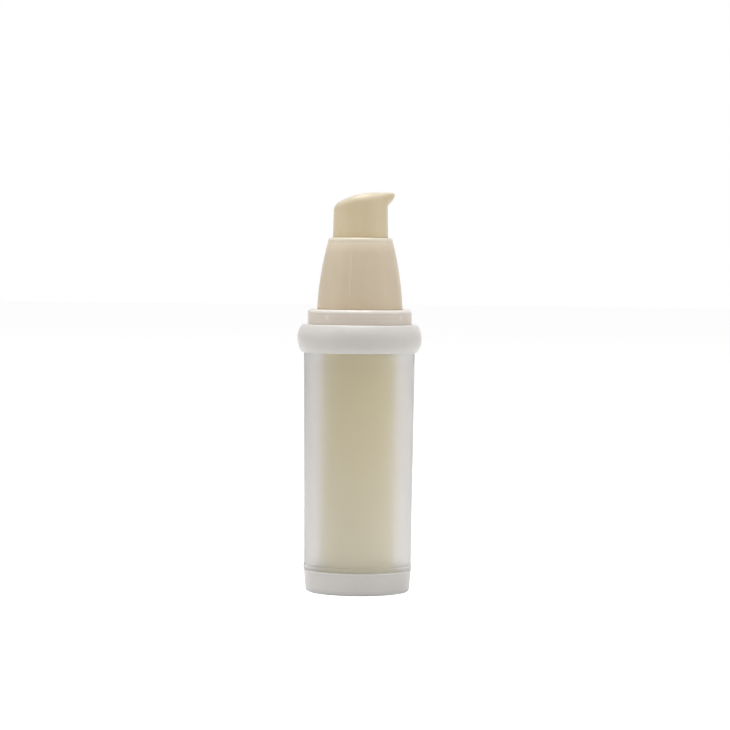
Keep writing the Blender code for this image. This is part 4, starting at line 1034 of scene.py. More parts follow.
@dataclass
class OuterCase:
    """The case that stays on the shelf: white base, frosted tube and bulged shoulder ring."""

    base: Extent = Extent.of("base_cap")
    tube: Extent = Extent.of("outer_bottle")
    ring: Extent = Extent.of("shoulder_ring")
    plug: Extent = Extent.of("bottom_plug")
    rim_set_back: float = 0.1 * MM
    base_taper: float = 0.7 * MM
    foot_rounding: float = 1.0 * MM
    rim_rounding: float = 0.3 * MM
    small_rounding: float = 0.2 * MM
    stand_width: float = 1.4 * MM
    stand_draft: float = 0.2 * MM
    recess: float = 0.9 * MM
    floor: float = 1.2 * MM
    ledge_rise: float = 1.9 * MM
    ledge_width: float = 0.6 * MM
    locator_wall: float = 1.0 * MM
    locator_rise: float = 2.9 * MM
    vent_radius: float = 1.0 * MM
    spigot_step: float = 1.4 * MM
    band_step: float = 0.25 * MM
    band_height: float = 1.75 * MM
    tube_wall: float = 2.0 * MM
    tube_flare: float = 0.65 * MM
    tube_rounding: float = 0.5 * MM
    flare_low: float = 1.0 * MM  # from the foot band up to where the tube's wall starts to widen
    flare_high: float = 2.0 * MM  # from where the widening ends up to the tube's rim
    flare_rows: int = 24
    ring_bulge: float = 1.6 * MM
    ring_wall: float = 0.4 * MM
    ring_edge: float = 0.35 * MM
    ring_rows: int = 31
    lip_step: float = 1.15 * MM

    @property
    def band_radius(self) -> float:
        """Radius of the tube's foot band."""
        return self.base.radius + self.rim_set_back

    @property
    def wall_foot(self) -> float:
        """Height of the tube's shoulder on the base."""
        return self.base.top + SEAM

    @property
    def frost_low(self) -> float:
        """Height where the frosting starts, at the top of the foot band."""
        return self.wall_foot + self.band_height

    @property
    def wall_middle(self) -> float:
        """Radius between the tube's bore and its outside."""
        return self.tube.radius - self.tube_flare - self.tube_wall / 2 + self.tube_flare / 2

    def make_base(self) -> Object:
        """Turn the base: a cup with a standing ring, a ledge for the tube and a ring round the cartridge.

        Returns:
            The base.
        """
        rim, top = self.base.radius, self.base.top
        foot = rim - self.base_taper
        stand = foot - self.foot_rounding - self.stand_width
        spigot = self.band_radius - self.spigot_step
        ledge = spigot - self.ledge_width
        floor_top = self.recess + self.floor
        ledge_top = floor_top + self.ledge_rise
        locator_bore = self.plug.radius + FIT_GAP
        locator = locator_bore + self.locator_wall
        locator_top = floor_top + self.locator_rise
        small = self.small_rounding
        return turned("base_shell", outline(
            (rim, top, self.rim_rounding), (foot, 0.0, self.foot_rounding), (stand, 0.0, self.rim_rounding),
            (stand - self.stand_draft, self.recess, small), (self.vent_radius, self.recess),
            (self.vent_radius, floor_top), (locator_bore, floor_top, small),
            (locator_bore, locator_top, small), (locator, locator_top, small), (locator, floor_top, small),
            (ledge, floor_top, small), (ledge, ledge_top), (spigot + FIT_GAP, ledge_top),
            (spigot + FIT_GAP, top, small / 2),
        ), WIDE_SIDES)

    def make_tube(self) -> Object:
        """Turn the tube: a spigot in the base, a polished foot band and a wall that widens to the rim.

        Returns:
            The tube.
        """
        rim, foot, top = self.tube
        wall = rim - self.tube_flare
        band_top = self.frost_low
        bore = wall - self.tube_wall
        spigot = self.band_radius - self.spigot_step
        return turned("frosted_tube", outline(
            (rim, top, self.tube_rounding),
            straight((rim, top - self.flare_high), (wall, band_top + self.flare_low), self.flare_rows),
            (wall, band_top, self.band_step / 2), (self.band_radius, band_top, self.band_step),
            (self.band_radius, self.wall_foot, self.band_step / 2), (spigot, self.wall_foot),
            (spigot, foot, self.band_step), (bore, foot, self.band_step),
            (bore, self.wall_foot, self.rim_rounding), (rim - self.tube_wall, top, self.tube_rounding),
        ), WIDE_SIDES)

    def make_ring(self) -> Object:
        """Turn the shoulder ring: a bulged side, a flat top that seats an overcap and a lip on the rim.

        Returns:
            The ring.
        """
        top, foot = self.ring.top, self.ring.foot
        edge = self.ring.radius - self.ring_bulge
        side = Bow((edge, top), (edge, foot), self.ring_bulge)
        seat = self.tube.top + SEAT_GAP
        bore = edge - self.ring_wall
        lip = bore - self.lip_step
        return turned("bulged_ring", outline(
            (edge, top, self.ring_edge),
            side.points(top - self.ring_edge, foot + self.ring_edge, self.ring_rows),
            (edge, foot, self.ring_edge), (bore, foot), (bore, seat, self.rim_rounding),
            (lip, seat), (lip, top, self.small_rounding),
        ), WIDE_SIDES)

    def build(self, finishes: Finishes) -> None:
        """Build and dress the three pieces.

        Args:
            finishes: The bottle's materials.
        """
        fit(self.make_base(), "base_cap", Body.CASE, finishes.white)
        fit(self.make_tube(), "outer_bottle", Body.CASE, finishes.frosted)
        fit(self.make_ring(), "shoulder_ring", Body.CASE, finishes.white)


@dataclass
class Cartridge:
    """The refill that lifts out of the case: cream cup, ivory seat ring, bottom plug and follower piston."""

    cup: Extent = Extent.of("inner_bottle")
    seat: Extent = Extent.of("seat_ring")
    plug: Extent = Extent.of("bottom_plug")
    follower: Extent = Extent.of("follower_piston")
    tube: Extent = Extent.of("outer_bottle")
    small_rounding: float = 0.2 * MM
    shoulder_rise: float = 2.0 * MM
    shoulder_step: float = 2.95 * MM
    shoulder_rounding: float = 1.5 * MM
    cup_wall: float = 1.0 * MM
    cup_low: float = 2.0 * MM  # from the cup's foot up to the lowest row of its side
    cup_high: float = 3.0 * MM  # from the highest row of its side up to the shoulder
    cup_rows: int = 16
    neck_wall: float = 1.9 * MM
    neck_foot: float = 0.35 * MM  # from the seat ring's top up to where the neck is as narrow as its root
    thread_low: float = 0.55 * MM  # from the seat ring's top up to the threaded rows
    thread_high: float = 0.5 * MM  # from the threaded rows up to the neck's end
    thread_rows: int = 64
    thread_start: float = 1.3 * MM  # from the seat ring's top up to the thread's lower end
    thread_turns: float = 1.45
    seat_rounding: float = 1.0 * MM
    seat_wall: float = 1.4 * MM
    seat_plate: float = 1.4 * MM
    haunch: float = 0.8 * MM  # run of the slopes, and radius of the large roundings inside
    skirt_step: float = 1.047 * MM
    skirt_wall: float = 1.15 * MM
    sleeve_wall: float = 1.1 * MM
    bead_rise: float = 4.7 * MM
    bead_half_height: float = 0.75 * MM
    bead_margin: float = 0.1 * MM
    bead_rows: int = 30
    bead_proud: float = 0.05 * MM
    bead_fullness: float = 1.5
    bead_middle: float = math.radians(-83.5)
    bead_span: float = math.radians(95)
    bead_end: float = math.radians(5.0)
    highlight_rim_radius: float = 0.7  # of the rim at a bead's end that gets a painted highlight, as a share of the bead's half height
    highlight_rim_width: float = 0.55
    plug_flange: float = 1.0 * MM
    plug_floor: float = 1.2 * MM
    plug_wall: float = 1.25 * MM
    vent_radius: float = 1.0 * MM
    lip_height: float = 0.6 * MM
    lip_slope: float = 1.0 * MM
    lip_proud: float = 0.75 * MM
    piston_wall: float = 1.0 * MM
    piston_crown: float = 1.1 * MM
    piston_foot: float = 2.5 * MM
    well_radius: float = 6.8 * MM

    @property
    def neck_radius(self) -> float:
        """Radius of the neck, out to the crest of its thread."""
        return self.cup.radius - self.shoulder_step

    @property
    def shoulder(self) -> float:
        """Height of the cup's shoulder."""
        return self.tube.top + self.shoulder_rise

    @property
    def bead_height(self) -> float:
        """Height of the beads' middle."""
        return self.tube.top + SEAT_GAP + self.bead_rise

    @property
    def thread(self) -> Thread:
        """The neck's screw thread."""
        return Thread(start=self.seat.top + self.thread_start, turns=self.thread_turns)

    def make_cup(self) -> Object:
        """Turn the cup, with a screw thread raised on its neck.

        Returns:
            The cup.
        """
        radius, foot, top = self.cup
        neck, thread, shoulder = self.neck_radius, self.thread, self.shoulder
        root, bore = neck - thread.depth, neck - self.neck_wall
        underside = shoulder - self.cup_wall
        inside = radius - self.cup_wall
        low, high = self.seat.top + self.thread_low, top - self.thread_high
        small = self.small_rounding
        return turned("cream_cup", outline(
            (root, top, small), straight((root, high), (root, low), self.thread_rows),
            (root, self.seat.top + self.neck_foot, small), (neck, self.seat.top - self.haunch, small),
            (neck, shoulder, small), (radius, shoulder, self.shoulder_rounding),
            straight((radius, shoulder - self.cup_high), (radius, foot + self.cup_low), self.cup_rows),
            (radius, foot, small), (inside, foot, small), (inside, underside, self.haunch),
            (bore, underside, small), (bore, top, small),
        ), MIDDLE_SIDES, thread.on_wall(root, low, high, 1.0))

    def raise_beads(self, angles: Array, radii: Array, heights: Array) -> Marked:
        """Raise the two beads on the seat ring's outside and mark the rims of their ends for a painted
        highlight.

        A bead's height over the side is proud * (1 - (dz / half height)^2)^fullness. Its ends are blunt:
        within the end's angle both measures shrink by sqrt(1 - s^2), where s is the share of the end that
        is passed. An end's rim is marked as an edge where s and dz / half height lie near a circle; the
        edge colour paints a highlight there, a small glint at each end.

        Args:
            angles: Angles of the grid's columns.
            radii: Radii of its points.
            heights: Heights of its points.

        Returns:
            The new radii and the marks of edges.
        """
        turn = math.pi * np.round((angles - self.bead_middle) / math.pi)
        away = np.abs(angles - self.bead_middle - turn) - self.bead_span / 2 + self.bead_end
        passed = np.maximum(away / self.bead_end, 0)
        size = np.sqrt(1 - np.minimum(passed, 1) ** 2)
        half = np.maximum(self.bead_half_height * size, TINY)
        over = heights - self.bead_height
        outside = radii > self.seat.radius - TOUCH
        share = outside * np.clip(1 - (over / half) ** 2, 0, 1) ** self.bead_fullness
        # painted highlight on the rim of each bead end
        from_rim = np.abs(np.hypot(passed, over / self.bead_half_height) - self.highlight_rim_radius)
        mark = np.clip(1 - from_rim / self.highlight_rim_width, 0, 1) * (passed > 0)
        return radii + self.bead_proud * size * share, outside * mark

    def make_seat(self) -> Object:
        """Turn the seat ring: a skirt in the case, a side with beads and a sleeve round the neck.

        Returns:
            The seat ring.
        """
        rim, foot, top = self.seat
        seat = self.tube.top + SEAT_GAP
        skirt = rim - self.skirt_step
        skirt_bore = skirt - self.skirt_wall
        bore = rim - self.seat_wall
        underside = top - self.seat_plate
        sleeve_bore = self.neck_radius + FIT_GAP
        sleeve = sleeve_bore + self.sleeve_wall
        sleeve_foot = self.shoulder + SEAT_GAP
        reach = self.bead_half_height + self.bead_margin
        high, low = self.bead_height + reach, self.bead_height - reach
        small = self.small_rounding
        return turned("ivory_seat", outline(
            (rim, top, self.seat_rounding), straight((rim, high), (rim, low), self.bead_rows),
            (rim, seat), (skirt, seat), (skirt, foot, small), (skirt_bore, foot), (skirt_bore, seat, small),
            (bore, seat + self.haunch, small), (bore, underside, small), (sleeve, underside, small),
            (sleeve, sleeve_foot), (sleeve_bore, sleeve_foot), (sleeve_bore, top, small),
        ), BEAD_SIDES, self.raise_beads)

    def make_plug(self) -> Object:
        """Turn the bottom plug: a flange under the cup's foot and a vented cup inside it.

        Returns:
            The plug.
        """
        radius, foot, top = self.plug
        inside = self.cup.radius - self.cup_wall - FIT_GAP
        bore = inside - self.plug_wall
        flange_top, floor_top = foot + self.plug_flange, foot + self.plug_floor
        small = self.small_rounding
        return turned("vented_plug", outline(
            (inside, top, small), (inside, flange_top), (radius, flange_top, small), (radius, foot, small),
            (self.vent_radius, foot), (self.vent_radius, floor_top), (bore, floor_top, self.haunch),
            (bore, top, small),
        ), MIDDLE_SIDES)

    def make_follower(self) -> Object:
        """Turn the follower piston: a wiping lip at its top and foot, and a well that clears the pump.

        Returns:
            The piston.
        """
        lip, foot, top = self.follower
        waist = lip - self.lip_proud
        bore = waist - self.piston_wall
        slope = self.lip_height + self.lip_slope
        well, well_wall = self.well_radius, self.well_radius + self.piston_wall
        floor = foot + self.piston_foot
        floor_top = floor + self.piston_wall
        crown = top - self.piston_crown
        small = self.small_rounding
        return turned("wiping_follower", outline(
            (0.0, floor_top, ON_CURVE), (well, floor_top, small), (well, top, 2 * small),
            (lip, top, small / 2), (lip, top - self.lip_height, small), (waist, top - slope, small),
            (waist, foot + slope, small), (lip, foot + self.lip_height, small), (lip, foot, small / 2),
            (lip - self.lip_height, foot, small / 2), (bore, foot + slope, small), (bore, crown, small),
            (well_wall, crown, small), (well_wall, floor, small), (0.0, floor, ON_CURVE),
        ), MIDDLE_SIDES)

    def build(self, finishes: Finishes) -> None:
        """Build and dress the four pieces.

        Args:
            finishes: The bottle's materials.
        """
        fit(self.make_cup(), "inner_bottle", Body.CARTRIDGE, finishes.cup)
        fit(self.make_seat(), "seat_ring", Body.CARTRIDGE, finishes.ivory)
        fit(self.make_plug(), "bottom_plug", Body.CARTRIDGE, finishes.natural)
        fit(self.make_follower(), "follower_piston", Body.FOLLOWER, finishes.soft)


@dataclass
class PumpEngine:
    """What the closure clamps on the neck: gasket, housing, ball valve, chamber cap and return spring."""

    gasket: Extent = Extent.of("neck_gasket")
    housing: Extent = Extent.of("pump_housing")
    cage: Extent = Extent.of("ball_cage")
    ball: Extent = Extent.of("inlet_ball")
    cap: Extent = Extent.of("chamber_cap")
    spring: Extent = Extent.of("return_spring")
    small_rounding: float = 0.15 * MM
    gasket_width: float = 1.6 * MM
    flange: float = 1.2 * MM
    skirt_radius: float = 7.8 * MM
    skirt_wall: float = 0.9 * MM
    skirt_depth: float = 2.9 * MM
    barrel_radius: float = 5.9 * MM
    barrel_wall: float = 0.9 * MM
    inlet_radius: float = 1.5 * MM
    inlet_wall: float = 1.2 * MM
    inlet_taper: float = 0.3 * MM
    inlet_length: float = 1.9 * MM
    taper_rise: float = 1.2 * MM
    cage_flange: float = 1.0 * MM
    cage_bore: float = 2.3 * MM
    cage_wall: float = 0.9 * MM
    cage_roof: float = 0.7 * MM
    cage_port: float = 1.2 * MM
    slot_count: int = 3
    slot_width: float = 1.4 * MM
    slot_height: float = 1.8 * MM
    ball_rows: int = 33
    cap_plug: float = 2.4 * MM
    cap_flange: float = 1.0 * MM
    guide_wall: float = 1.1 * MM
    wire_radius: float = 0.4 * MM
    wire_sides: int = 20
    wire_cut: float = 0.8  # radius of the flat at the wire's end, to the wire's radius
    turns: int = 7
    turn_steps: int = 64
    end_pitch: float = 1.35 * MM
    closed_turns: float = 0.85
    opening_turns: float = 0.4
    pressed_share: float = 0.658  # the spring's length at the end of the stroke, to its length at rest

    def make_gasket(self) -> Object:
        """Turn the flat gasket.

        Returns:
            The gasket.
        """
        rim, foot, top = self.gasket
        bore = rim - self.gasket_width
        soft = 2 * self.small_rounding
        return turned("flat_gasket", outline(
            (rim, top, soft), (rim, foot, soft), (bore, foot, soft), (bore, top, soft),
        ), MIDDLE_SIDES)

    def make_housing(self) -> Object:
        """Turn the housing: clamp flange, neck plug, barrel, conical ball seat and inlet.

        Returns:
            The housing.
        """
        rim, foot, top = self.housing
        under = top - self.flange
        skirt, skirt_bore = self.skirt_radius, self.skirt_radius - self.skirt_wall
        skirt_foot = under - self.skirt_depth
        barrel, chamber = self.barrel_radius, self.barrel_radius - self.barrel_wall
        seat_foot = foot + self.inlet_length
        floor = self.cage.foot - SEAT_GAP
        taper_foot = seat_foot - self.barrel_wall + FIT_GAP
        inlet = self.inlet_radius + self.inlet_wall
        small = self.small_rounding
        return turned("pump_barrel", outline(
            (rim, top, small), (rim, under, small), (skirt, under, small), (skirt, skirt_foot, small),
            (skirt_bore, skirt_foot, small), (skirt_bore, under, small), (barrel, under, small),
            (barrel, taper_foot + self.taper_rise, 2 * small), (inlet + self.inlet_taper, taper_foot, small),
            (inlet, foot, small), (self.inlet_radius, foot), (self.inlet_radius, seat_foot),
            (self.inlet_radius + floor - seat_foot, floor), (chamber, floor, small), (chamber, top, small),
        ), MIDDLE_SIDES)

    def make_cage(self) -> Object:
        """Turn the ball's cage and cut its slots.

        Returns:
            The cage.
        """
        rim, foot, top = self.cage
        sleeve = self.cage_bore + self.cage_wall
        flange_top = foot + self.cage_flange
        roof = top - self.cage_roof
        small = self.small_rounding
        cage = turned("valve_cage", outline(
            (sleeve, top, 2 * small), (sleeve, flange_top, small), (rim, flange_top, small),
            (rim, foot, small), (self.cage_bore, foot, small), (self.cage_bore, roof, small),
            (self.cage_port, roof), (self.cage_port, top, small),
        ), SMALL_SIDES)
        for index in range(self.slot_count):
            carve(cage, self.make_slot(index, sleeve + FIT_GAP, flange_top + FIT_GAP))
        return cage

    def make_slot(self, index: int, reach: float, foot: float) -> Object:
        """Make the block that cuts one slot, as a rectangle carried from the axis outwards.

        Its rows are the rectangle at both ends, each closed by a row of the rectangle shrunk to a point.

        Args:
            index: Which slot it is.
            reach: How far it reaches from the axis.
            foot: Height of its lower side.

        Returns:
            The cutter.
        """
        angle = math.tau * (index + 0.5) / self.slot_count
        size = np.array([0.0, 1.0, 1.0, 0.0])[:, None]
        across = size * np.array([-1.0, 1.0, 1.0, -1.0]) * self.slot_width / 2
        height = size * np.array([-1.0, -1.0, 1.0, 1.0]) * self.slot_height / 2
        along = np.broadcast_to(np.array([0.0, 0.0, reach, reach])[:, None], across.shape)
        grid = np.stack([along * math.cos(angle) - across * math.sin(angle),
                         along * math.sin(angle) + across * math.cos(angle),
                         foot + self.slot_height / 2 + height], axis=-1)
        return surface(f"slot_{index + 1}", grid, False, True, np.zeros(grid.shape[:2]))

    def make_ball(self) -> Object:
        """Turn the ball from a half circle: radius R sin(a) at height R cos(a) over its centre.

        Returns:
            The ball.
        """
        radius, centre = self.ball.radius, (self.ball.foot + self.ball.top) / 2
        swing = np.linspace(0.0, math.pi, self.ball_rows)
        marks = np.full(self.ball_rows, ON_CURVE)
        rows = np.stack([radius * np.sin(swing), centre + radius * np.cos(swing), marks], axis=1)
        rows[[0, -1], 0] = 0.0
        return turned("valve_ball", rows, SMALL_SIDES)

    def make_cap(self) -> Object:
        """Turn the chamber cap: a plug in the barrel, a clamp flange and a guide round the stem.

        Returns:
            The cap.
        """
        rim, foot, top = self.cap
        under = foot + self.cap_plug
        flange_top = under + self.cap_flange
        plug = self.cage.radius
        bore = STEM_RADIUS + FIT_GAP
        guide = bore + self.guide_wall
        small = self.small_rounding
        return turned("stem_guide", outline(
            (guide, top, 2 * small), (guide, flange_top, 2 * small), (rim, flange_top, small),
            (rim, under, small), (plug, under, small), (plug, foot, small), (bore, foot, small),
            (bore, top, small),
        ), SMALL_SIDES)

    def make_spring(self) -> Object:
        """Carry the wire's circle along the spring's coil.

        The coil runs at a steady angle. Its height climbs by the end pitch in the closed turn at each end
        and evenly between them, and the climb changes over smoothly: it is the running sum of a rate that
        steps smoothly between the two pitches. A section's points lie at
        wire radius * (cos(b) N + sin(b) T x N), with N outwards and T along the coil. The wire's ends are
        cut square and closed by rings of no size.

        Returns:
            The spring.
        """
        mean = self.spring.radius - self.wire_radius
        low, high = self.spring.foot + self.wire_radius, self.spring.top - self.wire_radius
        turns = np.linspace(0.0, self.turns, self.turns * self.turn_steps + 1)
        opened = smooth_step((turns - self.closed_turns) / self.opening_turns)
        opened *= smooth_step((self.turns - self.closed_turns - turns) / self.opening_turns)
        step = turns[1] - turns[0]
        room = high - low - self.end_pitch * self.turns
        extra = np.concatenate([[0.0], np.cumsum((opened[1:] + opened[:-1]) / 2) * step])
        heights = low + self.end_pitch * turns + room * extra / extra[-1]

        angles = math.tau * turns
        path = np.stack([mean * np.cos(angles), mean * np.sin(angles), heights], axis=1)
        along = np.gradient(path, axis=0)
        along /= np.linalg.norm(along, axis=1)[:, None]
        outwards = np.stack([np.cos(angles), np.sin(angles), np.zeros_like(angles)], axis=1)
        upwards = np.cross(along, outwards)
        around = (math.tau * np.arange(self.wire_sides) / self.wire_sides)[None, :, None]
        spokes = (np.cos(around) * outwards[:, None] + np.sin(around) * upwards[:, None]) * self.wire_radius
        flats = [(path[end] + spokes[end] * self.wire_cut)[None] for end in (0, -1)]
        points = [np.broadcast_to(path[end], flats[0].shape) for end in (0, -1)]
        grid = np.concatenate([points[0], flats[0], path[:, None] + spokes, flats[1], points[1]])
        return surface("coil_spring", grid, False, True, np.zeros(grid.shape[:2]))

    def build(self, finishes: Finishes) -> None:
        """Build and dress the six pieces.

        Args:
            finishes: The bottle's materials.
        """
        fit(self.make_gasket(), "neck_gasket", Body.PUMP, finishes.soft)
        fit(self.make_housing(), "pump_housing", Body.PUMP, finishes.natural)
        fit(self.make_cage(), "ball_cage", Body.PUMP, finishes.natural)
        fit(self.make_cap(), "chamber_cap", Body.PUMP, finishes.natural)
        spring = fit(self.make_spring(), "return_spring", Body.PUMP, finishes.steel)
        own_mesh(spring)
        fit(self.make_ball(), "inlet_ball", Body.BALL, finishes.steel)


@dataclass
class Closure:
    """What turns on the neck: the screw closure and the bell-shaped collar over it."""

    neck_thread: Thread
    cap: Extent = Extent.of("screw_closure")
    collar: Extent = Extent.of("collar")
    head: Extent = Extent.of("actuator_head")
    small_rounding: float = 0.2 * MM
    flange_reach: float = 1.25 * MM
    flange: float = 1.2 * MM
    wall: float = 1.5 * MM
    plate: float = 1.2 * MM
    cap_rounding: float = 0.6 * MM
    port_radius: float = 5.4 * MM
    thread_turns: float = 1.2
    thread_low: float = 0.4 * MM  # from the closure's foot up to the threaded rows
    thread_high: float = 0.6 * MM  # from the threaded rows up to the closure's plate
    thread_rows: int = 96
    opening_gap: float = 0.15 * MM
    lip_width: float = 1.3 * MM
    shoulder_rounding: float = 1.1 * MM
    bow: float = 0.6 * MM
    side_rows: int = 40
    skirt_rows: int = 24
    crown_rows: int = 16
    collar_wall: float = 0.95 * MM
    ledge_height: float = 1.0 * MM
    ledge_set_in: float = 1.0 * MM

    @property
    def cap_side(self) -> float:
        """Radius of the screw closure above its flange."""
        return self.cap.radius - self.flange_reach

    def make_cap(self) -> Object:
        """Turn the screw closure, with a thread in its bore that runs between the neck's turns.

        Returns:
            The screw closure.
        """
        rim, foot, top = self.cap
        side = self.cap_side
        bore = side - self.wall
        under = top - self.plate
        flange_top = foot + self.flange
        neck = self.neck_thread
        thread = Thread(start=neck.start + neck.pitch / 2, turns=self.thread_turns, pitch=neck.pitch)
        low, high = foot + self.thread_low, under - self.thread_high
        small = self.small_rounding
        return turned("threaded_closure", outline(
            (side, top, self.cap_rounding), (side, flange_top, small), (rim, flange_top, small),
            (rim, foot, small), (bore, foot, small), straight((bore, low), (bore, high), self.thread_rows),
            (bore, under, small), (self.port_radius, under), (self.port_radius, top, small),
        ), MIDDLE_SIDES, thread.on_wall(bore, low, high, -1.0))

    def make_collar(self) -> Object:
        """Turn the bell: a side that bows out, a rolled shoulder and a ledge on the closure's top.

        Returns:
            The collar.
        """
        radius, top = self.collar.radius, self.collar.top
        foot = self.collar.foot - SEAT_GAP + SEAM
        opening = self.head.radius + self.opening_gap
        shoulder, shoulder_foot = opening + self.lip_width, top - self.shoulder_rounding
        side = Bow((shoulder, shoulder_foot), (radius, foot), self.bow)
        ledge = self.cap.top + SEAT_GAP
        ledge_top = ledge + self.ledge_height
        ledge_radius = self.cap_side - self.ledge_set_in
        wall, small = self.collar_wall, self.small_rounding
        return turned("bell_collar", outline(
            (shoulder, top, self.shoulder_rounding),
            side.points(shoulder_foot - small, foot + 2 * small, self.side_rows),
            (radius, foot, small), (radius - wall, foot, small),
            side.points(foot + 2 * small, ledge - 2 * small, self.skirt_rows, wall),
            (side.radius_at(ledge) - wall, ledge), (ledge_radius, ledge), (ledge_radius, ledge_top),
            (side.radius_at(ledge_top) - wall, ledge_top),
            side.points(ledge_top + 2 * small, shoulder_foot - 4 * small, self.crown_rows, wall),
            (opening, shoulder_foot, small), (opening, top, small),
        ), WIDE_SIDES)

    def build(self, finishes: Finishes) -> None:
        """Build and dress the two pieces.

        Args:
            finishes: The bottle's materials.
        """
        fit(self.make_cap(), "screw_closure", Body.CLOSURE, finishes.natural)
        fit(self.make_collar(), "collar", Body.CLOSURE, finishes.collar)


@dataclass
class Plunger:
    """What the head presses down: the hollow stem, its poppet and the wiping piston."""

    stem: Extent = Extent.of("stem")
    poppet: Extent = Extent.of("poppet")
    piston: Extent = Extent.of("pump_piston")
    cap: Extent = Extent.of("chamber_cap")
    small_rounding: float = 0.15 * MM
    bore: float = 1.5 * MM
    collar_height: float = 1.0 * MM
    poppet_flange: float = 1.0 * MM
    cone_radius: float = 2.4 * MM
    cone_height: float = 1.3 * MM
    hub_bore: float = 2.8 * MM
    hub_radius: float = 3.5 * MM
    groove: float = 0.6 * MM
    lip_proud: float = 0.2 * MM
    lip_tip: float = 0.4 * MM
    overhang: float = 0.4 * MM
    web: float = 1.0 * MM

    def make_stem(self) -> Object:
        """Turn the stem: a tube with the collar that stops it under the chamber cap.

        Returns:
            The stem.
        """
        rim, foot, top = self.stem
        tube = STEM_RADIUS
        collar_top = self.cap.foot - SEAT_GAP
        collar_foot = collar_top - self.collar_height
        small = self.small_rounding
        return turned("hollow_stem", outline(
            (tube, top, 2 * small), (tube, collar_top, small), (rim, collar_top, small),
            (rim, collar_foot, small), (tube, collar_foot, small), (tube, foot, small),
            (self.bore, foot, small), (self.bore, top, small),
        ), SMALL_SIDES)

    def make_poppet(self) -> Object:
        """Turn the poppet: a stalk that plugs the stem and the flange that the piston seals on.

        Returns:
            The poppet.
        """
        rim, foot, top = self.poppet
        stalk = self.bore - FIT_GAP
        flange_top = foot + self.poppet_flange
        small = self.small_rounding
        return turned("stem_poppet", outline(
            (0.0, top, ON_CURVE), (stalk, top, 2 * small), (stalk, flange_top + self.cone_height, small),
            (self.cone_radius, flange_top, small), (rim, flange_top, small), (rim, foot, small),
            (0.0, foot, ON_CURVE),
        ), SMALL_SIDES)

    def make_piston(self) -> Object:
        """Turn the piston: a hub on the stem and a thin lip that wipes the chamber at each end.

        Returns:
            The piston.
        """
        lip, foot, top = self.piston
        hub_foot, hub_top = foot + self.overhang, top - self.overhang
        middle = (hub_foot + hub_top) / 2
        web_foot, web_top = middle - self.web / 2, middle + self.web / 2
        hub, hub_bore = self.hub_radius, self.hub_bore
        inner = hub + self.groove
        root, tip = lip - self.lip_proud, lip - self.lip_tip
        small = self.small_rounding
        return turned("wiping_piston", outline(
            (lip, top, small / 2), (lip, hub_top, small), (root, web_top, small), (root, web_foot, small),
            (lip, hub_foot, small), (lip, foot, small / 2), (tip, foot, small / 2),
            (inner, web_foot, small), (hub, web_foot, small), (hub, hub_foot, small),
            (hub_bore, hub_foot, small), (hub_bore, hub_top, small), (hub, hub_top, small),
            (hub, web_top, small), (inner, web_top, small), (tip, top, small / 2),
        ), SMALL_SIDES)

    def build(self, finishes: Finishes) -> None:
        """Build and dress the three pieces.

        Args:
            finishes: The bottle's materials.
        """
        fit(self.make_stem(), "stem", Body.PLUNGER, finishes.natural)
        fit(self.make_poppet(), "poppet", Body.PLUNGER, finishes.natural)
        fit(self.make_piston(), "pump_piston", Body.SEAL, finishes.soft)


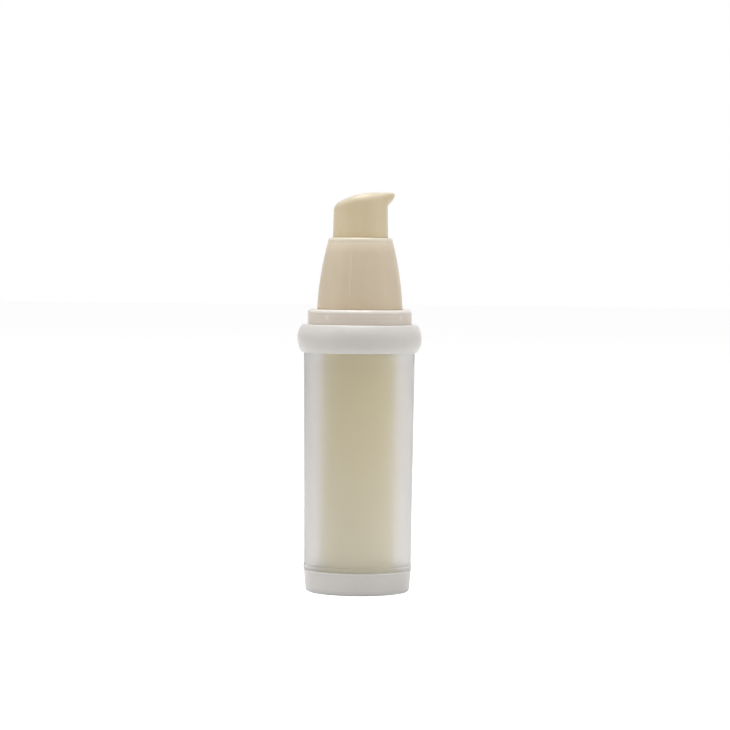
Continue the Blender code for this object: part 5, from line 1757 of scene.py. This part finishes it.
@dataclass
class PressHead:
    """The press head: a lofted shell with a beaked nozzle, the stem's socket and the spring's seat.

    The crown is level in front and falls behind along an arc. The wall is round and narrows upwards, and
    the beak stands out of it as a smooth step up the front. Heights in the methods are above the head's
    foot.
    """

    head: Extent = Extent.of("actuator_head")
    taper: float = 0.45 * MM
    wall: float = 1.15 * MM
    crown_wall: float = 1.2 * MM
    level_start: float = 5.0 * MM
    crown_fall: float = 4.6 * MM
    dish_depth: float = 0.7 * MM
    back_edge: float = 3.0 * MM
    tip_edge: float = 0.7 * MM
    beak_reach: float = 2.4 * MM
    beak_foot_drop: float = 5.0 * MM
    beak_top_drop: float = 1.0 * MM
    beak_sharpness: float = 10.0
    edge_sharpness: float = 4.0
    crowding: float = 0.35
    columns: int = 168
    crown_rows: int = 22
    edge_rows: int = 13
    wall_rows: int = 57
    foot_rows: int = 3
    roof_rows: int = 14
    hollow_rows: int = 12
    rim_chamfer: float = 0.1 * MM
    clear_below: float = 2.0 * MM
    socket_bore: float = 2.8 * MM
    socket_radius: float = 3.7 * MM
    socket_foot: float = 0.8 * MM
    socket_top: float = 9.5 * MM
    spring_seat: float = 11.0 * MM
    spring_land: float = 5.6 * MM
    riser_radius: float = 1.3 * MM
    channel_radius: float = 0.6 * MM
    channel_drop: float = 3.2 * MM
    channel_tip_drop: float = 1.35 * MM
    conduit_radius: float = 2.1 * MM

    @property
    def height(self) -> float:
        """Height of the head."""
        return self.head.top - self.head.foot

    @property
    def arc_radius(self) -> float:
        """Radius of the crown's arc, (run^2 + fall^2) / (2 fall)."""
        run = self.level_start + self.head.radius
        return (run * run + self.crown_fall * self.crown_fall) / (2 * self.crown_fall)

    def wall_radius(self, heights: Array | float) -> Array | float:
        """Radius of the round wall, narrowing evenly from foot to top."""
        return self.head.radius - self.taper * heights / self.height

    def crown_at(self, across: Array | float) -> Array | float:
        """Height of the crown at a place across: level in front, behind it top - R + sqrt(R^2 - d^2)."""
        behind = np.maximum(self.level_start - across, 0)
        return self.height - self.arc_radius + np.sqrt(self.arc_radius ** 2 - behind * behind)

    def slope_at(self, across: Array) -> Array:
        """Slope of the crown, d / sqrt(R^2 - d^2), where d is the distance behind the level part."""
        behind = np.maximum(self.level_start - across, 0)
        return behind / np.sqrt(self.arc_radius ** 2 - behind * behind)

    def beak(self, angles: Array, heights: Array | float) -> Array:
        """How far the beak stands out: a smooth step up the front times a power of the angle's cosine.

        Args:
            angles: Angles round the axis.
            heights: Heights above the head's foot.

        Returns:
            The distance that is added to the wall's radius.
        """
        share = (heights - self.height + self.beak_foot_drop) / (self.beak_foot_drop - self.beak_top_drop)
        front = np.maximum(np.cos(angles), 0) ** self.beak_sharpness
        return self.beak_reach * smooth_step(share) * front

    def outside(self) -> Marked:
        """Grid of the head's outside: crown, edge, wall and a flat foot.

        The crown's edge is an arc tangent to the wall and to the crown, whose radius goes from the back
        edge's to the beak's. The dish sinks the crown by depth * (1 - s^2)^2 at the share s of its radius,
        and the crown's mark of an edge is s^4. These marks and those of the edge rows give a painted
        highlight in the edge colour.

        Returns:
            Points as (rows, columns, 3), and the share of an edge at each.
        """
        even = math.tau * np.arange(self.columns) / self.columns
        angles = even - self.crowding * np.sin(even)
        front = np.maximum(np.cos(angles), 0) ** self.edge_sharpness
        edge = self.back_edge + (self.tip_edge - self.back_edge) * front
        top_radius = self.wall_radius(self.height) + self.beak(angles, self.height)
        lean = np.arctan(-self.slope_at((top_radius - edge) * np.cos(angles)) * np.cos(angles))
        highlight_rim_radius = top_radius - edge + edge * np.sin(lean)
        centre = self.crown_at(highlight_rim_radius * np.cos(angles)) - edge * np.cos(lean)
        wall = self.wall_radius(centre) + self.beak(angles, centre)
        rim = wall - edge + edge * np.sin(lean)

        share = np.linspace(0.0, 1.0, self.crown_rows)[:-1, None]
        crown_radii = rim * share
        crown = self.crown_at(crown_radii * np.cos(angles)) - self.dish_depth * (1 - share ** 2) ** 2
        turn = np.linspace(1.0, 0.0, self.edge_rows)[:, None]
        swing = (math.pi / 2 - lean) * turn
        edge_radii, edge_heights = wall - edge + edge * np.cos(swing), centre + edge * np.sin(swing)
        down = np.linspace(1.0, 0.0, self.wall_rows)[1:, None]
        wall_heights = self.rim_chamfer + (centre - self.rim_chamfer) * down
        wall_radii = self.wall_radius(wall_heights) + self.beak(angles, wall_heights)
        inwards = np.linspace(1.0, 0.0, self.foot_rows)[:, None]
        foot_radii = (self.head.radius - self.rim_chamfer) * inwards * np.ones_like(angles)
        radii = np.concatenate([crown_radii, edge_radii, wall_radii, foot_radii])
        heights = np.concatenate([crown, edge_heights, wall_heights, np.zeros_like(foot_radii)])
        marks = np.zeros_like(radii)
        marks[:len(crown)] = share ** 4
        marks[len(crown):len(crown) + self.edge_rows] = turn
        return self.place(radii, heights, angles), marks

    def cavity(self) -> Array:
        """Grid of the block that hollows the head: a roof under the crown, a wall and a foot below the rim.

        Returns:
            Points as (rows, columns, 3).
        """
        angles = math.tau * np.arange(self.columns) / self.columns
        inside = self.wall_radius(self.height) - self.wall
        drop = self.crown_wall + self.dish_depth
        roof_radii = inside * np.linspace(0.0, 1.0, self.roof_rows)[:, None] * np.ones_like(angles)
        roof = self.crown_at(roof_radii * np.cos(angles)) - drop
        down = np.linspace(0.0, 1.0, self.hollow_rows)[1:, None]
        wall_heights = roof[-1] + (-self.clear_below - roof[-1]) * down
        wall_radii = self.wall_radius(wall_heights) - self.wall
        foot_radii = wall_radii[-1] * np.array([[0.5], [0.0]])  # a ring halfway in, and the pole
        foot = np.full_like(foot_radii, -self.clear_below)
        radii = np.concatenate([roof_radii, wall_radii, foot_radii])
        return self.place(radii, np.concatenate([roof, wall_heights, foot]), angles)

    def place(self, radii: Array, heights: Array, angles: Array) -> Array:
        """Points of radii, heights over the foot and angles, in the frame's coordinates."""
        return np.stack([radii * np.cos(angles), radii * np.sin(angles), heights + self.head.foot], axis=-1)

    def post(self, name: str, *corners: tuple[float, float]) -> Object:
        """Turn a solid block that stands on the axis.

        Args:
            name: Name of the object.
            corners: Radii and heights over the head's foot, from the top down.

        Returns:
            The block.
        """
        rows = [(radius, self.head.foot + height) for radius, height in corners]
        top, foot = (0.0, rows[0][1], ON_CURVE), (0.0, rows[-1][1], ON_CURVE)
        return turned(name, outline(top, *rows, foot), SMALL_SIDES)

    def make_head(self) -> Object:
        """Loft the head, hollow it round its socket, spring seat and conduit, and cut the bores.

        Returns:
            The head.
        """
        grid, marks = self.outside()
        head = surface("beaked_head", grid, False, True, marks)
        inner = self.cavity()
        hollow = surface("head_hollow", inner, False, True, np.zeros(inner.shape[:2]))
        core = self.post(
            "head_core", (self.spring_land, self.height), (self.spring_land, self.spring_seat),
            (self.socket_radius, self.spring_seat), (self.socket_radius, self.socket_foot),
        )
        channel_height = self.height - self.channel_drop
        riser_top = channel_height + self.channel_radius
        bore = self.post(
            "head_bore", (self.riser_radius, riser_top), (self.riser_radius, self.socket_top),
            (self.socket_bore, self.socket_top), (self.socket_bore, 0.0),
        )
        start = Vector((0.0, 0.0, self.head.foot + channel_height))
        beak_tip = self.head.radius - self.taper + self.beak_reach
        to_tip = Vector((beak_tip, 0.0, self.channel_drop - self.channel_tip_drop))
        way, reach = to_tip.normalized(), to_tip.length + self.clear_below
        carve(hollow, core)
        carve(hollow, rod("head_conduit", start, way, reach, self.conduit_radius))
        carve(head, hollow)
        carve(head, bore)
        carve(head, rod("nozzle_channel", start, way, reach, self.channel_radius))
        return head

    def build(self, finishes: Finishes) -> None:
        """Build and dress the head."""
        fit(self.make_head(), "actuator_head", Body.HEAD, finishes.head)


@dataclass(frozen=True)
class Lamp:
    """A soft rectangular lamp that faces the bottle.

    Attributes:
        name: Name of the lamp.
        place: Where it stands.
        width: Width of its face.
        height: Height of its face.
        power: Power in watts.
    """

    name: str
    place: tuple[float, float, float]
    width: float
    height: float
    power: float

    def build(self, aim: Vector) -> None:
        """Add the lamp.

        Args:
            aim: The place that it faces.
        """
        data = bpy.data.lights.new(self.name, "AREA")
        data.shape = "RECTANGLE"
        data.size, data.size_y, data.energy = self.width, self.height, self.power
        lamp = link(self.name, data)
        lamp.location = self.place
        lamp.rotation_euler = (aim - Vector(self.place)).to_track_quat("-Z", "Y").to_euler()


@dataclass
class Studio:
    """Plain pale floor, soft light and the camera at the photograph's viewing angle."""

    distance: float = 0.95  # of the camera in front of the bottle's axis
    camera_height: float = 0.110
    aim_across: float = 1.89 * MM
    aim_height: float = 74.98 * MM
    roll: float = math.radians(0.55)
    lens: float = 141.56  # focal length in millimetres
    sensor: float = 36.0  # width in millimetres
    world_light: float = 0.215
    left_light: float = 0.54  # factor on the world's light from the left
    left_end: float = -0.35  # direction across where that factor is full
    left_start: float = 0.1  # direction across where it starts
    floor_size: float = 12.0
    floor_lines: int = 3
    floor_colour: float = 0.875  # in the light that the floor sends to the bottle
    floor_glow: float = 0.85  # brightness that a shown floor has without any light
    floor_shadow: float = 0.72  # colour of a shown floor, which the light and the shadow fall on
    lamps: tuple[Lamp, ...] = (
        Lamp("top_lamp", (-0.1, -0.08, 1.25), width=1.0, height=0.8, power=14.6),
        Lamp("left_lamp", (-1.0, -0.25, 0.35), width=0.8, height=0.8, power=1.9),
        Lamp("right_lamp", (1.0, -0.25, 0.35), width=0.8, height=0.8, power=2.0),
    )

    def seen(self, graph: Graph) -> NodeSocket:
        """Tell rays that show a surface from the rays that only light the bottle.

        Args:
            graph: The graph that asks.

        Returns:
            A value that is 1 for rays from the camera, off gloss or through clear plastic, and 0 for others.
        """
        rays = graph.add("LightPath").outputs
        seen = graph.math("MAXIMUM", rays["Is Camera Ray"], rays["Is Glossy Ray"])
        return graph.math("MAXIMUM", seen, rays["Is Transmission Ray"])

    def make_world(self) -> None:
        """Light the world a little less from the left, which is -X, and show it as plain white."""
        world = bpy.data.worlds.new("studio")
        world.use_nodes = True
        bpy.context.scene.world = world
        graph = Graph(world.node_tree)
        across = graph.add("SeparateXYZ", {0: graph.add("TexCoord").outputs["Generated"]}).outputs["X"]
        side = graph.ramp(across, self.left_end, self.left_start, self.left_light, 1.0)
        side = graph.math("MAXIMUM", side, graph.add("LightPath").outputs["Is Camera Ray"])
        level = graph.ramp(self.seen(graph), 0.0, 1.0, self.world_light, 1.0)
        strength = graph.math("MULTIPLY", side, level)
        light = graph.add("Background", {"Color": WHITE, "Strength": strength})
        graph.add("OutputWorld", {"Surface": light.outputs[0]})

    def make_floor(self) -> None:
        """Lay a white floor that keeps a soft shadow."""
        side = np.linspace(-self.floor_size / 2, self.floor_size / 2, self.floor_lines)
        across, along = np.meshgrid(side, side, indexing="ij")
        grid = np.stack([across, along, np.zeros_like(across)], axis=-1)
        quads = grid_quads(self.floor_lines, self.floor_lines, False, False)
        mesh = bpy.data.meshes.new("floor")
        mesh.from_pydata(grid.reshape(-1, 3).tolist(), [], quads.tolist())
        floor = link("floor", mesh)
        material, graph = start_material("pale_floor")
        seen = self.seen(graph)
        colour = graph.mix(seen, (*[self.floor_colour] * 3, 1.0), (*[self.floor_shadow] * 3, 1.0))
        matte = graph.add("BsdfDiffuse", {"Color": colour})
        glow = graph.add("Emission", {"Strength": graph.math("MULTIPLY", seen, self.floor_glow)})
        both = graph.add("AddShader", {0: matte.outputs[0], 1: glow.outputs[0]})
        graph.add("OutputMaterial", {"Surface": both.outputs[0]})
        mesh.materials.append(material)

    def make_camera(self) -> None:
        """Place the camera, looking a little down, and lean it so that the bottle leans right."""
        data = bpy.data.cameras.new("camera")
        data.lens, data.sensor_width = self.lens, self.sensor
        camera = link("camera", data)
        place = Vector((self.aim_across, -self.distance, self.camera_height))
        forward = (Vector((self.aim_across, 0.0, self.aim_height)) - place).normalized()
        right = forward.cross(Vector((0.0, 0.0, 1.0))).normalized()
        up = right.cross(forward)
        cosine, sine = math.cos(self.roll), math.sin(self.roll)
        right, up = right * cosine + up * sine, up * cosine - right * sine
        axes = Matrix((right, up, -forward)).transposed().to_4x4()
        camera.matrix_world = Matrix.Translation(place) @ axes
        bpy.context.scene.camera = camera

    def build(self) -> None:
        """Build the whole studio."""
        self.make_world()
        self.make_floor()
        self.make_camera()
        for lamp in self.lamps:
            lamp.build(Vector((0.0, 0.0, self.aim_height)))
        bpy.context.scene.view_settings.view_transform = "Standard"
        LOG.info("studio built with %d lamps", len(self.lamps))


def main() -> None:
    """Build every sub-assembly in order."""
    logging.basicConfig(level=logging.INFO, format="%(name)s: %(message)s")
    case = OuterCase()
    finishes = Finishes(case)
    case.build(finishes)
    cartridge = Cartridge()
    cartridge.build(finishes)
    PumpEngine().build(finishes)
    Closure(neck_thread=cartridge.thread).build(finishes)
    Plunger().build(finishes)
    PressHead().build(finishes)
    Studio().build()


if __name__ == "__main__":
    main()
